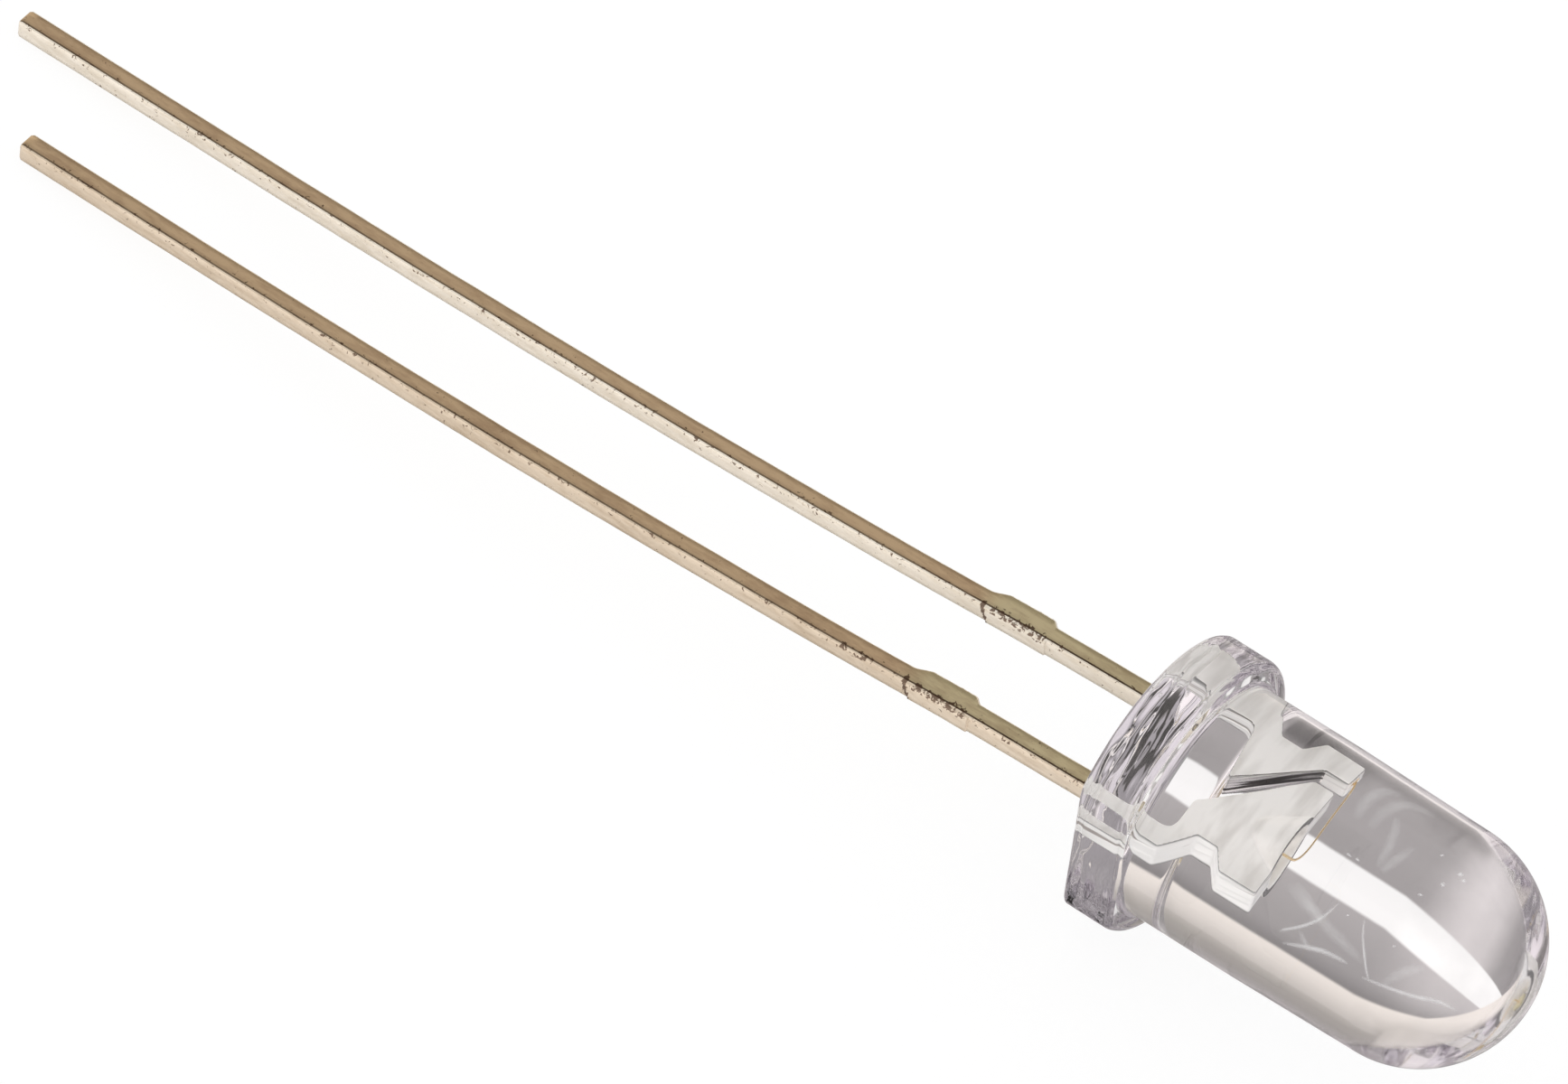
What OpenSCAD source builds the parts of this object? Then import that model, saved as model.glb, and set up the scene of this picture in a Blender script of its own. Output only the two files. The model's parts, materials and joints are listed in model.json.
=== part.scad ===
// Clear round through-hole LED, 5 mm body, lying as it rests on a bench.
// Every piece is drawn in the lamp's own frame: its axis along Z with the dome
// up and the base plane at 0, the two leads side by side along X with the
// cathode at +X. at_rest() then lays the finished piece on the bench.

/* [Epoxy body] */
// Diameter of the round barrel
body_d = 5.0; // [4.2:0.1:6.5]
// Height from the base plane to the top of the dome
body_h = 8.8; // [7:0.1:11]
// Diameter lost over the barrel so that it leaves its mould
body_taper = 0.1; // [0:0.02:0.2]
// Length of true cylinder above the flange, where a panel or bezel grips
seat_len = 2.4; // [1.5:0.1:3]
// How far the flange stands out of the barrel all round
flange_out = 0.5; // [0.3:0.05:0.8]
// Thickness of the flange
flange_t = 1.0; // [0.6:0.1:1.5]
// Rounding of the flange's two rim edges
flange_round = 0.16; // [0.05:0.01:0.25]
// Depth of the tiny flat on the flange's rim, on which the lamp rests
rest_flat = 0.006; // [0.002:0.001:0.02]
// Fillet in the corner between flange and barrel
seat_fillet = 0.14; // [0.05:0.01:0.3]
// How far the cathode flat stands proud of the barrel
flat_proud = 0.03; // [0.01:0.01:0.1]
// Height of the resin that creeps down each lead
meniscus_h = 0.22; // [0.1:0.02:0.4]
// Width of that resin round the lead, at the base
meniscus_w = 0.3; // [0.15:0.05:0.4]

/* [Leads] */
// Distance between the leads' centres
lead_pitch = 2.54; // [2.2:0.02:3]
// Width of a lead
lead_w = 0.45; // [0.38:0.01:0.55]
// Thickness of the lead sheet
sheet_t = 0.45; // [0.38:0.01:0.55]
// Broken edge along each lead
lead_edge = 0.06; // [0.02:0.01:0.1]
// Length of the anode lead outside the body
anode_len = 28.1; // [20:0.1:34]
// How much shorter the cathode lead is
cathode_short = 2.05; // [0.5:0.05:3]
// How far the two leads sit off the lamp's axis, toward the anode
frame_shift = 0.2; // [0:0.01:0.3]
// Sideways set of the leads, both alike, reached in one gentle bow
lead_bow = 0.58; // [0:0.01:1]
// Distance from the base plane at which the leads run straight again
bow_len = 22.5; // [12:0.5:26]

/* [Dam bar stubs] */
// Distance from the base plane to the stub left by the cut tie bar
stub_from = 3.35; // [2.5:0.05:5]
// Length of the stub along the lead at its full height
stub_len = 0.92; // [0.6:0.02:1.4]
// How far the stub stands out on the anode side
stub_out = 0.135; // [0.05:0.005:0.25]
// How far it stands out on the cathode side, where the shear passed
stub_burr = 0.04; // [0.01:0.005:0.1]

/* [Leadframe heads] */
// Height of the anode post's top
post_top = 3.58; // [3.4:0.02:4]
// Height of the cathode anvil's top, which is the rim of the cup
anvil_top = 3.5; // [3.3:0.02:3.8]
// Height of the post's foot, where it widens from its stem
post_foot = 1.46; // [1.4:0.02:1.7]
// Height of the anvil's foot, where it widens from its stem
anvil_foot = 1.42; // [1.2:0.02:1.5]
// Lean of the post's slanting edge from the lamp's axis, in degrees
post_lean = 28; // [20:1:30]
// Lean of the anvil's slanting edge, in degrees
anvil_lean = 35; // [32:1:38]
// Straight side of the anvil above its slanting edge, down from its top
anvil_side = 0.48; // [0.3:0.02:0.7]
// How far the anvil's top reaches toward the post from the lamp's axis
anvil_half = 0.94; // [0.86:0.02:1]
// How far it reaches from the axis on its other side
anvil_out = 1.03; // [0.9:0.01:1.1]
// Gap between post and anvil along their straight sides
head_gap = 0.18; // [0.15:0.01:0.25]
// How far the post's outer side stands in from its stem's
post_inset = 0.3; // [0.1:0.01:0.34]
// Depth of the side notch that locks the post in the resin
post_lock = 0.2; // [0.1:0.02:0.24]
// Depth of the anvil's side notch
anvil_lock = 0.38; // [0.2:0.02:0.44]

/* [Cup, chip and wire] */
// Outside diameter of the cup's rim
cup_d = 1.16; // [1:0.02:1.4]
// Mouth diameter of the cup
cup_mouth = 0.84; // [0.7:0.02:0.9]
// Floor diameter of the cup
cup_floor = 0.5; // [0.45:0.01:0.6]
// Depth of the cup
cup_depth = 0.34; // [0.25:0.01:0.45]
// Side of the square chip
die_side = 0.26; // [0.2:0.01:0.3]
// Height of the chip
die_h = 0.14; // [0.1:0.01:0.2]
// Thickness of the paste bed under the chip
paste_t = 0.03; // [0.02:0.005:0.05]
// Width of the paste that squeezes out round the chip
paste_w = 0.04; // [0.02:0.005:0.06]
// Diameter of the bond wire
wire_d = 0.036; // [0.03:0.002:0.05]
// Height of the wire's top run above the post
wire_rise = 0.11; // [0.08:0.01:0.16]
// Bend radius of the wire
wire_bend = 0.09; // [0.06:0.01:0.12]

/* [Hidden] */
$fn = 64;

body_r = body_d / 2;
dome_r = (body_d - body_taper) / 2;
dome_z = body_h - dome_r;
seat_top = flange_t + seat_len;
flange_r = body_r + flange_out;
flat_x = body_r + flat_proud;

anode_x = -lead_pitch / 2 - frame_shift;
cathode_x = lead_pitch / 2 - frame_shift;
cathode_len = anode_len - cathode_short;
stub_slope = 0.14;
stub_tail = 0.44;
step = 0.02;
bow_step = 1.5;
root = 0.2;

window_round = 0.2;
post_slope = 0.28;
anvil_slope = 0.3;
wing_slope = 0.52;
shoulder = 0.12;
post_notch = [post_foot + 0.19, post_foot + 1.24];
anvil_notch = [anvil_foot - 0.05, anvil_foot + 1.24];
corner_z = anvil_top - anvil_side;
post_side_x = -anvil_half - head_gap;
post_out_x = anode_x - lead_w / 2 + post_inset;
post_tip_x = post_side_x + (corner_z - post_foot) * tan(post_lean);
anvil_tip_x = -anvil_half + (corner_z - anvil_foot) * tan(anvil_lean);
cup_base_r = sheet_t / 2;
cup_body = 0.9;

chip_floor = anvil_top - cup_depth;
die_z = chip_floor + paste_t;
die_top = die_z + die_h;
pad_r = 1.6 * wire_d;
pad_h = wire_d;
wire_z = post_top + wire_rise;
post_mid = (post_out_x + post_side_x) / 2;

// The lead plane lies face up. Nose up by rest_pitch, the lamp touches the
// bench with its flange rim and both lead tips, which the roll makes level.
tip_x = lead_w / 2 - lead_edge;
tip_z = anode_len - lead_edge;
stagger = cathode_short / lead_pitch;
low_x = anode_x + bow(tip_z) + tip_x;
rest_r = flange_r - rest_flat;
rest_pitch = atan((rest_r - sheet_t / 2) / (tip_z + flange_round + stagger * low_x));
rest_roll = asin(stagger * tan(rest_pitch));
rest_lift = cos(rest_pitch) * (rest_r - flange_round) + flange_round
    - flange_round * sin(rest_pitch);
rest_back = (anode_len - body_h) / 2 * cos(rest_pitch);

// Sideways place of both leads at a distance s below the base plane.
function bow(s) =
    let (q = max(0, 1 - s / bow_len))
    lead_bow * (1 - q * q);

// A rectangle with broken corners, from x0 to x1, at the height z.
function ring(x0, x1, z, edge, inset = 0) =
    let (a = x0 + inset, b = x1 - inset, h = sheet_t / 2 - inset, c = edge)
    [[a + c, -h, z], [b - c, -h, z], [b, -h + c, z], [b, h - c, z],
     [b - c, h, z], [a + c, h, z], [a, h - c, z], [a, -h + c, z]];

// A corner rounded by an arc of radius r about c, from angle a0 to a1.
function arc(c, r, a0, a1, n = 6) =
    [for (i = [0 : n]) let (a = a0 + (a1 - a0) * i / n) c + r * [cos(a), sin(a)]];

// A closed skin over rings of equally many points, listed from low to high.
module skin(rings) {
    n = len(rings[0]);
    m = len(rings);
    sides = [for (i = [0 : m - 2], j = [0 : n - 1])
        let (k = (j + 1) % n, a = i * n + j, b = i * n + k, c = a + n, d = b + n)
        each [[a, c, d], [a, d, b]]];
    low = [for (j = [0 : n - 1]) j];
    high = [for (j = [n - 1 : -1 : 0]) (m - 1) * n + j];
    polyhedron(points = [for (r = rings) each r], faces = concat([low], sides, [high]));
}

// The lead outside the body: sheared tip, bow and dam bar stub.
module lead_wire(x, length) {
    full = stub_from + stub_slope;
    end = full + stub_len;
    rows = concat(
        [[0, 0, 0], [stub_from, 0, 0], [full, stub_out, 0], [full + step, stub_out, stub_burr],
         [end - step, stub_out, stub_burr], [end, stub_out, 0], [end + stub_tail, 0, 0]],
        [for (s = [end + stub_tail + bow_step : bow_step : min(bow_len, length) - bow_step]) [s, 0, 0]],
        [[length - lead_edge, 0, 0]]);
    edge = function (s, side, out) x + bow(s) + side * (lead_w / 2 + out);
    tip = ring(edge(length, -1, 0), edge(length, 1, 0), -length, lead_edge, lead_edge);
    body = [for (i = [len(rows) - 1 : -1 : 0]) let (r = rows[i])
        ring(edge(r[0], -1, r[1]), edge(r[0], 1, r[2]), -r[0], lead_edge)];
    inner = ring(edge(0, -1, 0), edge(0, 1, 0), root, lead_edge);
    skin(concat([tip], body, [inner]));
}

// Sheet metal of the given outline in the XZ plane.
module sheet(outline) {
    translate([0, sheet_t / 2, 0]) rotate([90, 0, 0]) linear_extrude(sheet_t) polygon(outline);
}

// A side notch between two heights, cut a given depth from the edge at x, with sloping ends.
function side_notch(x, z, depth, slope) =
    [[x, z[0]], [x + depth, z[0] + slope], [x + depth, z[1] - slope], [x, z[1]]];

module post_head() {
    in_x = anode_x + lead_w / 2;
    sheet(concat(
        [[anode_x - lead_w / 2, 0], [anode_x - lead_w / 2, post_foot - shoulder]],
        [[post_out_x, post_foot + shoulder]],
        side_notch(post_out_x, post_notch, post_lock, post_slope),
        [[post_out_x, post_top], [post_side_x, post_top]],
        [[post_side_x, corner_z], [post_tip_x, post_foot]],
        arc([in_x + window_round, post_foot - window_round], window_round, 90, 180),
        [[in_x, 0]]));
}

module anvil_head() {
    in_x = cathode_x - lead_w / 2;
    out_x = cathode_x + lead_w / 2;
    sheet(concat(
        [[in_x, 0]],
        arc([in_x - window_round, anvil_foot - window_round], window_round, 0, 90),
        [[anvil_tip_x, anvil_foot], [-anvil_half, corner_z]],
        [[-anvil_half, anvil_top], [anvil_out, anvil_top], [anvil_out, anvil_notch[1]]],
        [[anvil_out - anvil_lock, anvil_notch[1] - anvil_slope]],
        [[anvil_out - anvil_lock, anvil_notch[0] + wing_slope], [out_x, anvil_notch[0]]],
        [[out_x, 0]]));
}

module cup() {
    translate([0, 0, anvil_top - cup_body])
        cylinder(h = cup_body, r1 = cup_base_r, r2 = cup_d / 2);
}

module cup_recess() {
    rotate_extrude()
        polygon([[0, chip_floor], [cup_floor / 2, chip_floor], [cup_mouth / 2, anvil_top],
                 [cup_mouth / 2, anvil_top + 1], [0, anvil_top + 1]]);
}

module cathode_metal() {
    lead_wire(cathode_x, cathode_len);
    difference() {
        union() {
            anvil_head();
            cup();
        }
        cup_recess();
    }
}

module anode_metal() {
    lead_wire(anode_x, anode_len);
    post_head();
}

module chip() {
    translate([-die_side / 2, -die_side / 2, die_z]) cube([die_side, die_side, die_h]);
}

module paste() {
    translate([0, 0, chip_floor]) cylinder(h = paste_t, r = die_side * 0.7071 + paste_w);
}

// Ball on the chip, up, over to the post, and down onto its top.
module wire() {
    r = wire_d / 2;
    run = -post_mid - 2 * wire_bend;
    translate([0, 0, die_top]) cylinder(h = pad_h, r = pad_r);
    translate([0, 0, die_top]) cylinder(h = wire_z - wire_bend - die_top, r = r);
    translate([-wire_bend, 0, wire_z - wire_bend]) wire_elbow(0);
    translate([-wire_bend - run, 0, wire_z]) rotate([0, 90, 0]) cylinder(h = run, r = r);
    translate([-wire_bend - run, 0, wire_z - wire_bend]) wire_elbow(90);
    translate([post_mid, 0, post_top]) cylinder(h = wire_rise - wire_bend, r = r);
    translate([post_mid, 0, post_top]) cylinder(h = pad_h / 2, r = pad_r);
}

// A quarter bend of the wire in the XZ plane, starting a given angle above X.
module wire_elbow(from) {
    rotate([90, 0, 0]) rotate([0, 0, from])
        rotate_extrude(angle = 90) translate([wire_bend, 0]) circle(r = wire_d / 2);
}

// Round body, flange and dome, before the flat and the hollows.
module resin_blank() {
    low = [flange_r - flange_round, flange_round];
    high = [flange_r - flange_round, flange_t - flange_round];
    fillet = [body_r + seat_fillet, flange_t + seat_fillet];
    rotate_extrude() difference() {
        union() {
            square([flange_r - flange_round, flange_t]);
            translate([0, flange_round]) square([flange_r, flange_t - 2 * flange_round]);
            translate(low) circle(r = flange_round);
            translate(high) circle(r = flange_round);
            square([body_r, seat_top]);
            square([fillet[0], fillet[1]]);
            polygon([[0, seat_top], [body_r, seat_top], [dome_r, dome_z], [0, dome_z]]);
            intersection() {
                translate([0, dome_z]) circle(r = dome_r);
                translate([0, dome_z]) square([dome_r, dome_r]);
            }
        }
        translate(fillet) circle(r = seat_fillet);
    }
}

module meniscus(x) {
    r = lead_w * 0.7071;
    translate([x, 0, -meniscus_h]) cylinder(h = meniscus_h, r1 = r, r2 = r + meniscus_w);
}

module resin() {
    difference() {
        union() {
            difference() {
                resin_blank();
                translate([flat_x, -flange_r, -meniscus_h])
                    cube([flange_r, 2 * flange_r, meniscus_h + flange_t + seat_fillet]);
            }
            meniscus(anode_x);
            meniscus(cathode_x);
        }
        cathode_metal();
        anode_metal();
        chip();
        paste();
        wire();
    }
}

// Lays a piece on the bench, dome toward +X and the cathode toward -Y.
module at_rest() {
    translate([rest_back, 0, rest_lift]) rotate([0, -rest_pitch, 0])
        rotate([-90, 0, 0]) rotate([0, 90, 0]) rotate([0, 0, rest_roll]) children();
}

module lens_body() {
    color([0.86, 0.87, 0.9, 0.45]) difference() {
        at_rest() resin();
        translate([rest_back, -flange_r, -1]) cube([body_h, 2 * flange_r, 1]);
    }
}

module cathode_lead() {
    color([0.66, 0.6, 0.53]) at_rest() cathode_metal();
}

module anode_lead() {
    color([0.7, 0.64, 0.56]) at_rest() anode_metal();
}

module led_die() {
    color([0.93, 0.86, 0.6]) at_rest() chip();
}

module die_attach() {
    color([0.85, 0.85, 0.83]) at_rest() paste();
}

module bond_wire() {
    color([0.86, 0.68, 0.3]) at_rest() wire();
}

lens_body();
cathode_lead();
anode_lead();
led_die();
die_attach();
bond_wire();
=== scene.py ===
"""Looks of a clear round through-hole LED that lies on a pale bench.

The epoxy body, the two stamped leads, the chip, its paste and the bond wire are
modelled finely in the lamp's own frame, in millimetres, and placed by the frame.
There X runs across from the anode lead to the cathode lead, Y through the sheet away
from its upper face, and Z along the lamp's axis from the base plane to the dome.
"""

import json
import logging
import math
from dataclasses import dataclass, field
from enum import Enum
from typing import Callable, ClassVar, NamedTuple, Sequence

import bmesh
import bpy
from mathutils import Matrix, Vector, noise

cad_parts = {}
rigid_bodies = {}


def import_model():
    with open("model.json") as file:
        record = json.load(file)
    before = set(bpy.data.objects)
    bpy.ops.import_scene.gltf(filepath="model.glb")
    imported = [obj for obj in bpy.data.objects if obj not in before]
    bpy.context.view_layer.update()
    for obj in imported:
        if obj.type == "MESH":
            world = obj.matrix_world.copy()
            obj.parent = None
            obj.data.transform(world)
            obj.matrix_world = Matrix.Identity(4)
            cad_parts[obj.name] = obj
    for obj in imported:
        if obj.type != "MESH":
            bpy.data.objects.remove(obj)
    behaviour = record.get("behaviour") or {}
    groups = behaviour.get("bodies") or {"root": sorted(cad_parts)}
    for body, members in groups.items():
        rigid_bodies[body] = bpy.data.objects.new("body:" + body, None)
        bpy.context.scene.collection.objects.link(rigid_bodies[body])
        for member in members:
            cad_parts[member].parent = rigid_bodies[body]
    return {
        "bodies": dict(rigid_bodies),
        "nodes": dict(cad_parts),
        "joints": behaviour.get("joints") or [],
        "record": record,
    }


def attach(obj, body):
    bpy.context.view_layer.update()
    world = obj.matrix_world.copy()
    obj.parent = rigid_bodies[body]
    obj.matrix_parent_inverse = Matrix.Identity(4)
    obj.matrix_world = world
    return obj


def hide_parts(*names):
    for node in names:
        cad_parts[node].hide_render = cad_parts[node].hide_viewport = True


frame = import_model()

MM = 0.001
TURN = 2 * math.pi
BOUNCES = 40
CLEAR_LAYERS = 24
LOG = logging.getLogger("lamp")

Ring = list[Vector]
Point = tuple[float, float]
Table = tuple[Point, ...]
Colour = tuple[float, float, float]
Mesh = bmesh.types.BMesh
Vertex = bmesh.types.BMVert
Piece = bpy.types.Object
Material = bpy.types.Material
Socket = bpy.types.NodeSocket
Value = float | tuple[float, ...] | Socket


# ---------------------------------------------------------------- the lamp's frame


@dataclass(frozen=True)
class LampAxes:
    """Where the lamp lies: its base centre and its three directions.

    Attributes:
        base: Centre of the base plane, in metres.
        across: Unit vector from the anode lead to the cathode lead.
        along: Unit vector from the base plane to the dome.
    """

    base: Vector
    across: Vector
    along: Vector

    @property
    def face(self) -> Vector:
        """Outward normal of the sheet's upper face."""
        return self.across.cross(self.along)

    @property
    def place(self) -> Matrix:
        """Matrix from the lamp's own millimetres to the bench's metres."""
        turn = Matrix((self.across, -self.face, self.along)).transposed()
        return Matrix.Translation(self.base) @ turn.to_4x4() @ Matrix.Scale(MM, 4)

    @classmethod
    def from_frame(cls, packed: dict) -> "LampAxes":
        """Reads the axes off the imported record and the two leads' far ends.


        Returns:
            The lamp's axes at rest.
        """
        mounts = {m["name"]: m for m in packed["record"]["mounts"]}
        along = Vector(mounts["barrel"]["axis"]).normalized()
        on_axis = Vector(mounts["barrel"]["pos_m"])
        low = Vector(mounts["lead_pair"]["pos_m"])
        base = on_axis + along * along.dot(low - on_axis)
        tips = [cls._tip(packed["nodes"][n], along) for n in ("anode_lead", "cathode_lead")]
        span = tips[1] - tips[0]
        across = (span - along * along.dot(span)).normalized()
        return cls(base, across, along)

    @staticmethod
    def _tip(node: Piece, along: Vector) -> Vector:
        """Mean of the vertices at a lead's far end.

        Args:
            node: The lead's CAD object.
            along: The lamp's axis toward the dome.

        Returns:
            The tip's centre, in metres.
        """
        reach = [(v.co.dot(along), v.co) for v in node.data.vertices]
        least = min(r for r, _ in reach)
        ends = [co for r, co in reach if r < least + 0.01 * MM]
        return sum(ends, Vector()) / len(ends)

    def box(self, node: Piece) -> tuple[Vector, Vector]:
        """Lowest and highest corner of a CAD node in the lamp's millimetres.

        Args:
            node: A CAD object of the frame.

        Returns:
            The two corners.
        """
        back = self.place.inverted()
        points = [back @ v.co for v in node.data.vertices]
        low = Vector([min(p[i] for p in points) for i in range(3)])
        high = Vector([max(p[i] for p in points) for i in range(3)])
        return low, high


# ---------------------------------------------------------------- small mesh tools


def smooth_step(t: float) -> float:
    """Eases a share, cut to 0 and 1, at both of its ends."""
    t = max(0.0, min(1.0, t))
    return t * t * (3 - 2 * t)


def soft_min(a: float, b: float, blend: float) -> float:
    """The smaller of two numbers, rounded where they differ by less than the blend."""
    h = max(blend - abs(a - b), 0.0) / blend
    return min(a, b) - h * h * blend / 4


def polar(radius: float, angle: float, z: float) -> Vector:
    """A place about the lamp's axis, at an angle in radians."""
    return Vector((radius * math.cos(angle), radius * math.sin(angle), z))


def arc(centre: Point, radius: float, start: float, end: float, steps: int) -> list[Point]:
    """Points on an arc in a plane, both ends included, by angles in degrees."""
    angles = [math.radians(start + (end - start) * i / steps) for i in range(steps + 1)]
    return [(centre[0] + radius * math.cos(a), centre[1] + radius * math.sin(a)) for a in angles]


def rounded(outline: Sequence[Point], radius: float, steps: int = 4) -> list[Point]:
    """An outline with its corners eased.

    Args:
        outline: The corners in order.
        radius: How far from a corner the easing starts, cut down on short sides.
        steps: Stretches in each eased corner.

    Returns:
        The eased outline.
    """
    points = []
    for i, corner in enumerate(outline):
        here = Vector(corner)
        before, after = Vector(outline[i - 1]) - here, Vector(outline[(i + 1) % len(outline)]) - here
        reach = min(radius, before.length * 0.45, after.length * 0.45)
        start, end = here + before.normalized() * reach, here + after.normalized() * reach
        for k in range(steps + 1):
            t = k / steps
            eased = start * (1 - t) ** 2 + here * 2 * t * (1 - t) + end * t * t
            points.append((eased.x, eased.y))
    return points


def skin(rings: Sequence[Ring], bm: Mesh, kinds: Sequence[int] = (), caps: bool = True) -> list[list[Vertex]]:
    """Joins rings of equally many points into one tube.

    Args:
        rings: The rings in order.
        bm: The mesh that takes the tube.
        kinds: Material number of each lengthwise strip, where there are several.
        caps: Whether the two ends are closed.

    Returns:
        The vertices of each ring.
    """
    rows = [[bm.verts.new(p) for p in ring] for ring in rings]
    count = len(rows[0])
    for low, high in zip(rows, rows[1:]):
        for j in range(count):
            k = (j + 1) % count
            face = bm.faces.new((low[j], low[k], high[k], high[j]))
            face.material_index = kinds[j] if kinds else 0
    if caps:
        bm.faces.new(list(reversed(rows[0])))
        bm.faces.new(rows[-1])
    return rows


def solid(rings: Sequence[Ring]) -> Mesh:
    """A closed mesh over rings of equally many points.

    Args:
        rings: The rings in order.

    Returns:
        The closed mesh.
    """
    bm = bmesh.new()
    skin(rings, bm)
    bmesh.ops.recalc_face_normals(bm, faces=bm.faces)
    return bm


def plate(outline: Sequence[Point], half: float) -> Mesh:
    """Sheet metal of an outline across and along the lamp, twice the half thick."""
    return solid([[Vector((x, y, z)) for x, z in outline] for y in (-half, half)])


def turned(profile: Sequence[Point], turns: int = 72) -> Mesh:
    """A solid with flat ends, turned about the lamp's axis from radii and heights."""
    return solid([[polar(r, TURN * i / turns, z) for i in range(turns)] for r, z in profile])


def spline(knots: Sequence[Vector], steps: int) -> list[Vector]:
    """A smooth line through points.

    Args:
        knots: The points in order.
        steps: Stretches between two points.

    Returns:
        The line's points.
    """
    points = []
    for i in range(len(knots) - 1):
        a, b = knots[max(i - 1, 0)], knots[i]
        c, d = knots[i + 1], knots[min(i + 2, len(knots) - 1)]
        for k in range(steps):
            t = k / steps
            linear, square = (c - a) * t, (2 * a - 5 * b + 4 * c - d) * t * t
            points.append(0.5 * (2 * b + linear + square + (3 * b - a - 3 * c + d) * t**3))
    return points + [knots[-1]]


def heading(path: Sequence[Vector], i: int) -> Vector:
    """Unit vector along a line at one of its points."""
    return (path[min(i + 1, len(path) - 1)] - path[max(i - 1, 0)]).normalized()


def tube(path: Sequence[Vector], radii: Sequence[float], bm: Mesh, sides: int = 20) -> None:
    """A round wire along a path.

    Args:
        path: Centres in order.
        radii: Radius at each centre.
        bm: The mesh that takes the wire.
        sides: Points round the wire.
    """
    askew = Vector((0.31, 0.17, 0.93))
    angles = [TURN * k / sides for k in range(sides)]
    rings = []
    for i, (centre, radius) in enumerate(zip(path, radii)):
        way = heading(path, i)
        side = way.cross(askew).normalized()
        other = way.cross(side)
        rings.append([centre + (side * math.cos(a) + other * math.sin(a)) * radius for a in angles])
    skin(rings, bm)


def forged(solids: Sequence[Mesh], cuts: Sequence[Mesh], grain: float, passes: int) -> Mesh:
    """Melts solids into one, takes others away, and eases every edge.

    Args:
        solids: Closed meshes that are joined.
        cuts: Closed meshes that are taken away.
        grain: Size of the cells of the new surface.
        passes: How often the new surface is eased.

    Returns:
        The new closed mesh.
    """
    parts = []
    for bm in (*solids, *cuts):
        mesh = bpy.data.meshes.new("blank")
        bm.to_mesh(mesh)
        bm.free()
        part = bpy.data.objects.new("blank", mesh)
        bpy.context.scene.collection.objects.link(part)
        parts.append(part)
    base = parts[0]
    for i, part in enumerate(parts[1:], 1):
        join = base.modifiers.new("join", "BOOLEAN")
        join.operation = "UNION" if i < len(solids) else "DIFFERENCE"
        join.solver = "EXACT"
        join.object = part
    cells = base.modifiers.new("cells", "REMESH")
    cells.mode = "VOXEL"
    cells.voxel_size = grain
    ease = base.modifiers.new("ease", "SMOOTH")
    ease.factor = 0.5
    ease.iterations = passes
    shaped = base.evaluated_get(bpy.context.evaluated_depsgraph_get())
    mesh = bpy.data.meshes.new_from_object(shaped)
    result = bmesh.new()
    result.from_mesh(mesh)
    bpy.data.meshes.remove(mesh)
    for part in parts:
        bpy.data.meshes.remove(part.data)
    return result


def as_object(
    bm: Mesh,
    name: str,
    place: Matrix,
    finishes: Sequence[Material],
    sharp: float = 30.0,
    marks: dict[str, Callable[[Vector], float]] | None = None,
) -> Piece:
    """Turns a mesh in the lamp's millimetres into a placed object.

    Args:
        bm: The mesh, which is freed.
        name: The object's name.
        place: Matrix from the lamp's millimetres to metres.
        finishes: Its materials, in the order of their numbers.
        sharp: Angle above which an edge stays sharp, in degrees.
        marks: Numbers that its materials read, by name and place.

    Returns:
        The new object, at the scene's origin.
    """
    bmesh.ops.recalc_face_normals(bm, faces=bm.faces)
    for title, share in (marks or {}).items():
        layer = bm.verts.layers.float.new(title)
        for vert in bm.verts:
            vert[layer] = share(vert.co)
    mesh = bpy.data.meshes.new(name)
    bm.to_mesh(mesh)
    bm.free()
    mesh.transform(place)
    mesh.polygons.foreach_set("use_smooth", [True] * len(mesh.polygons))
    mesh.set_sharp_from_angle(angle=math.radians(sharp))
    for finish in finishes:
        mesh.materials.append(finish)
    piece = bpy.data.objects.new(name, mesh)
    bpy.context.scene.collection.objects.link(piece)
    return piece


# ---------------------------------------------------------------- finishes


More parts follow.
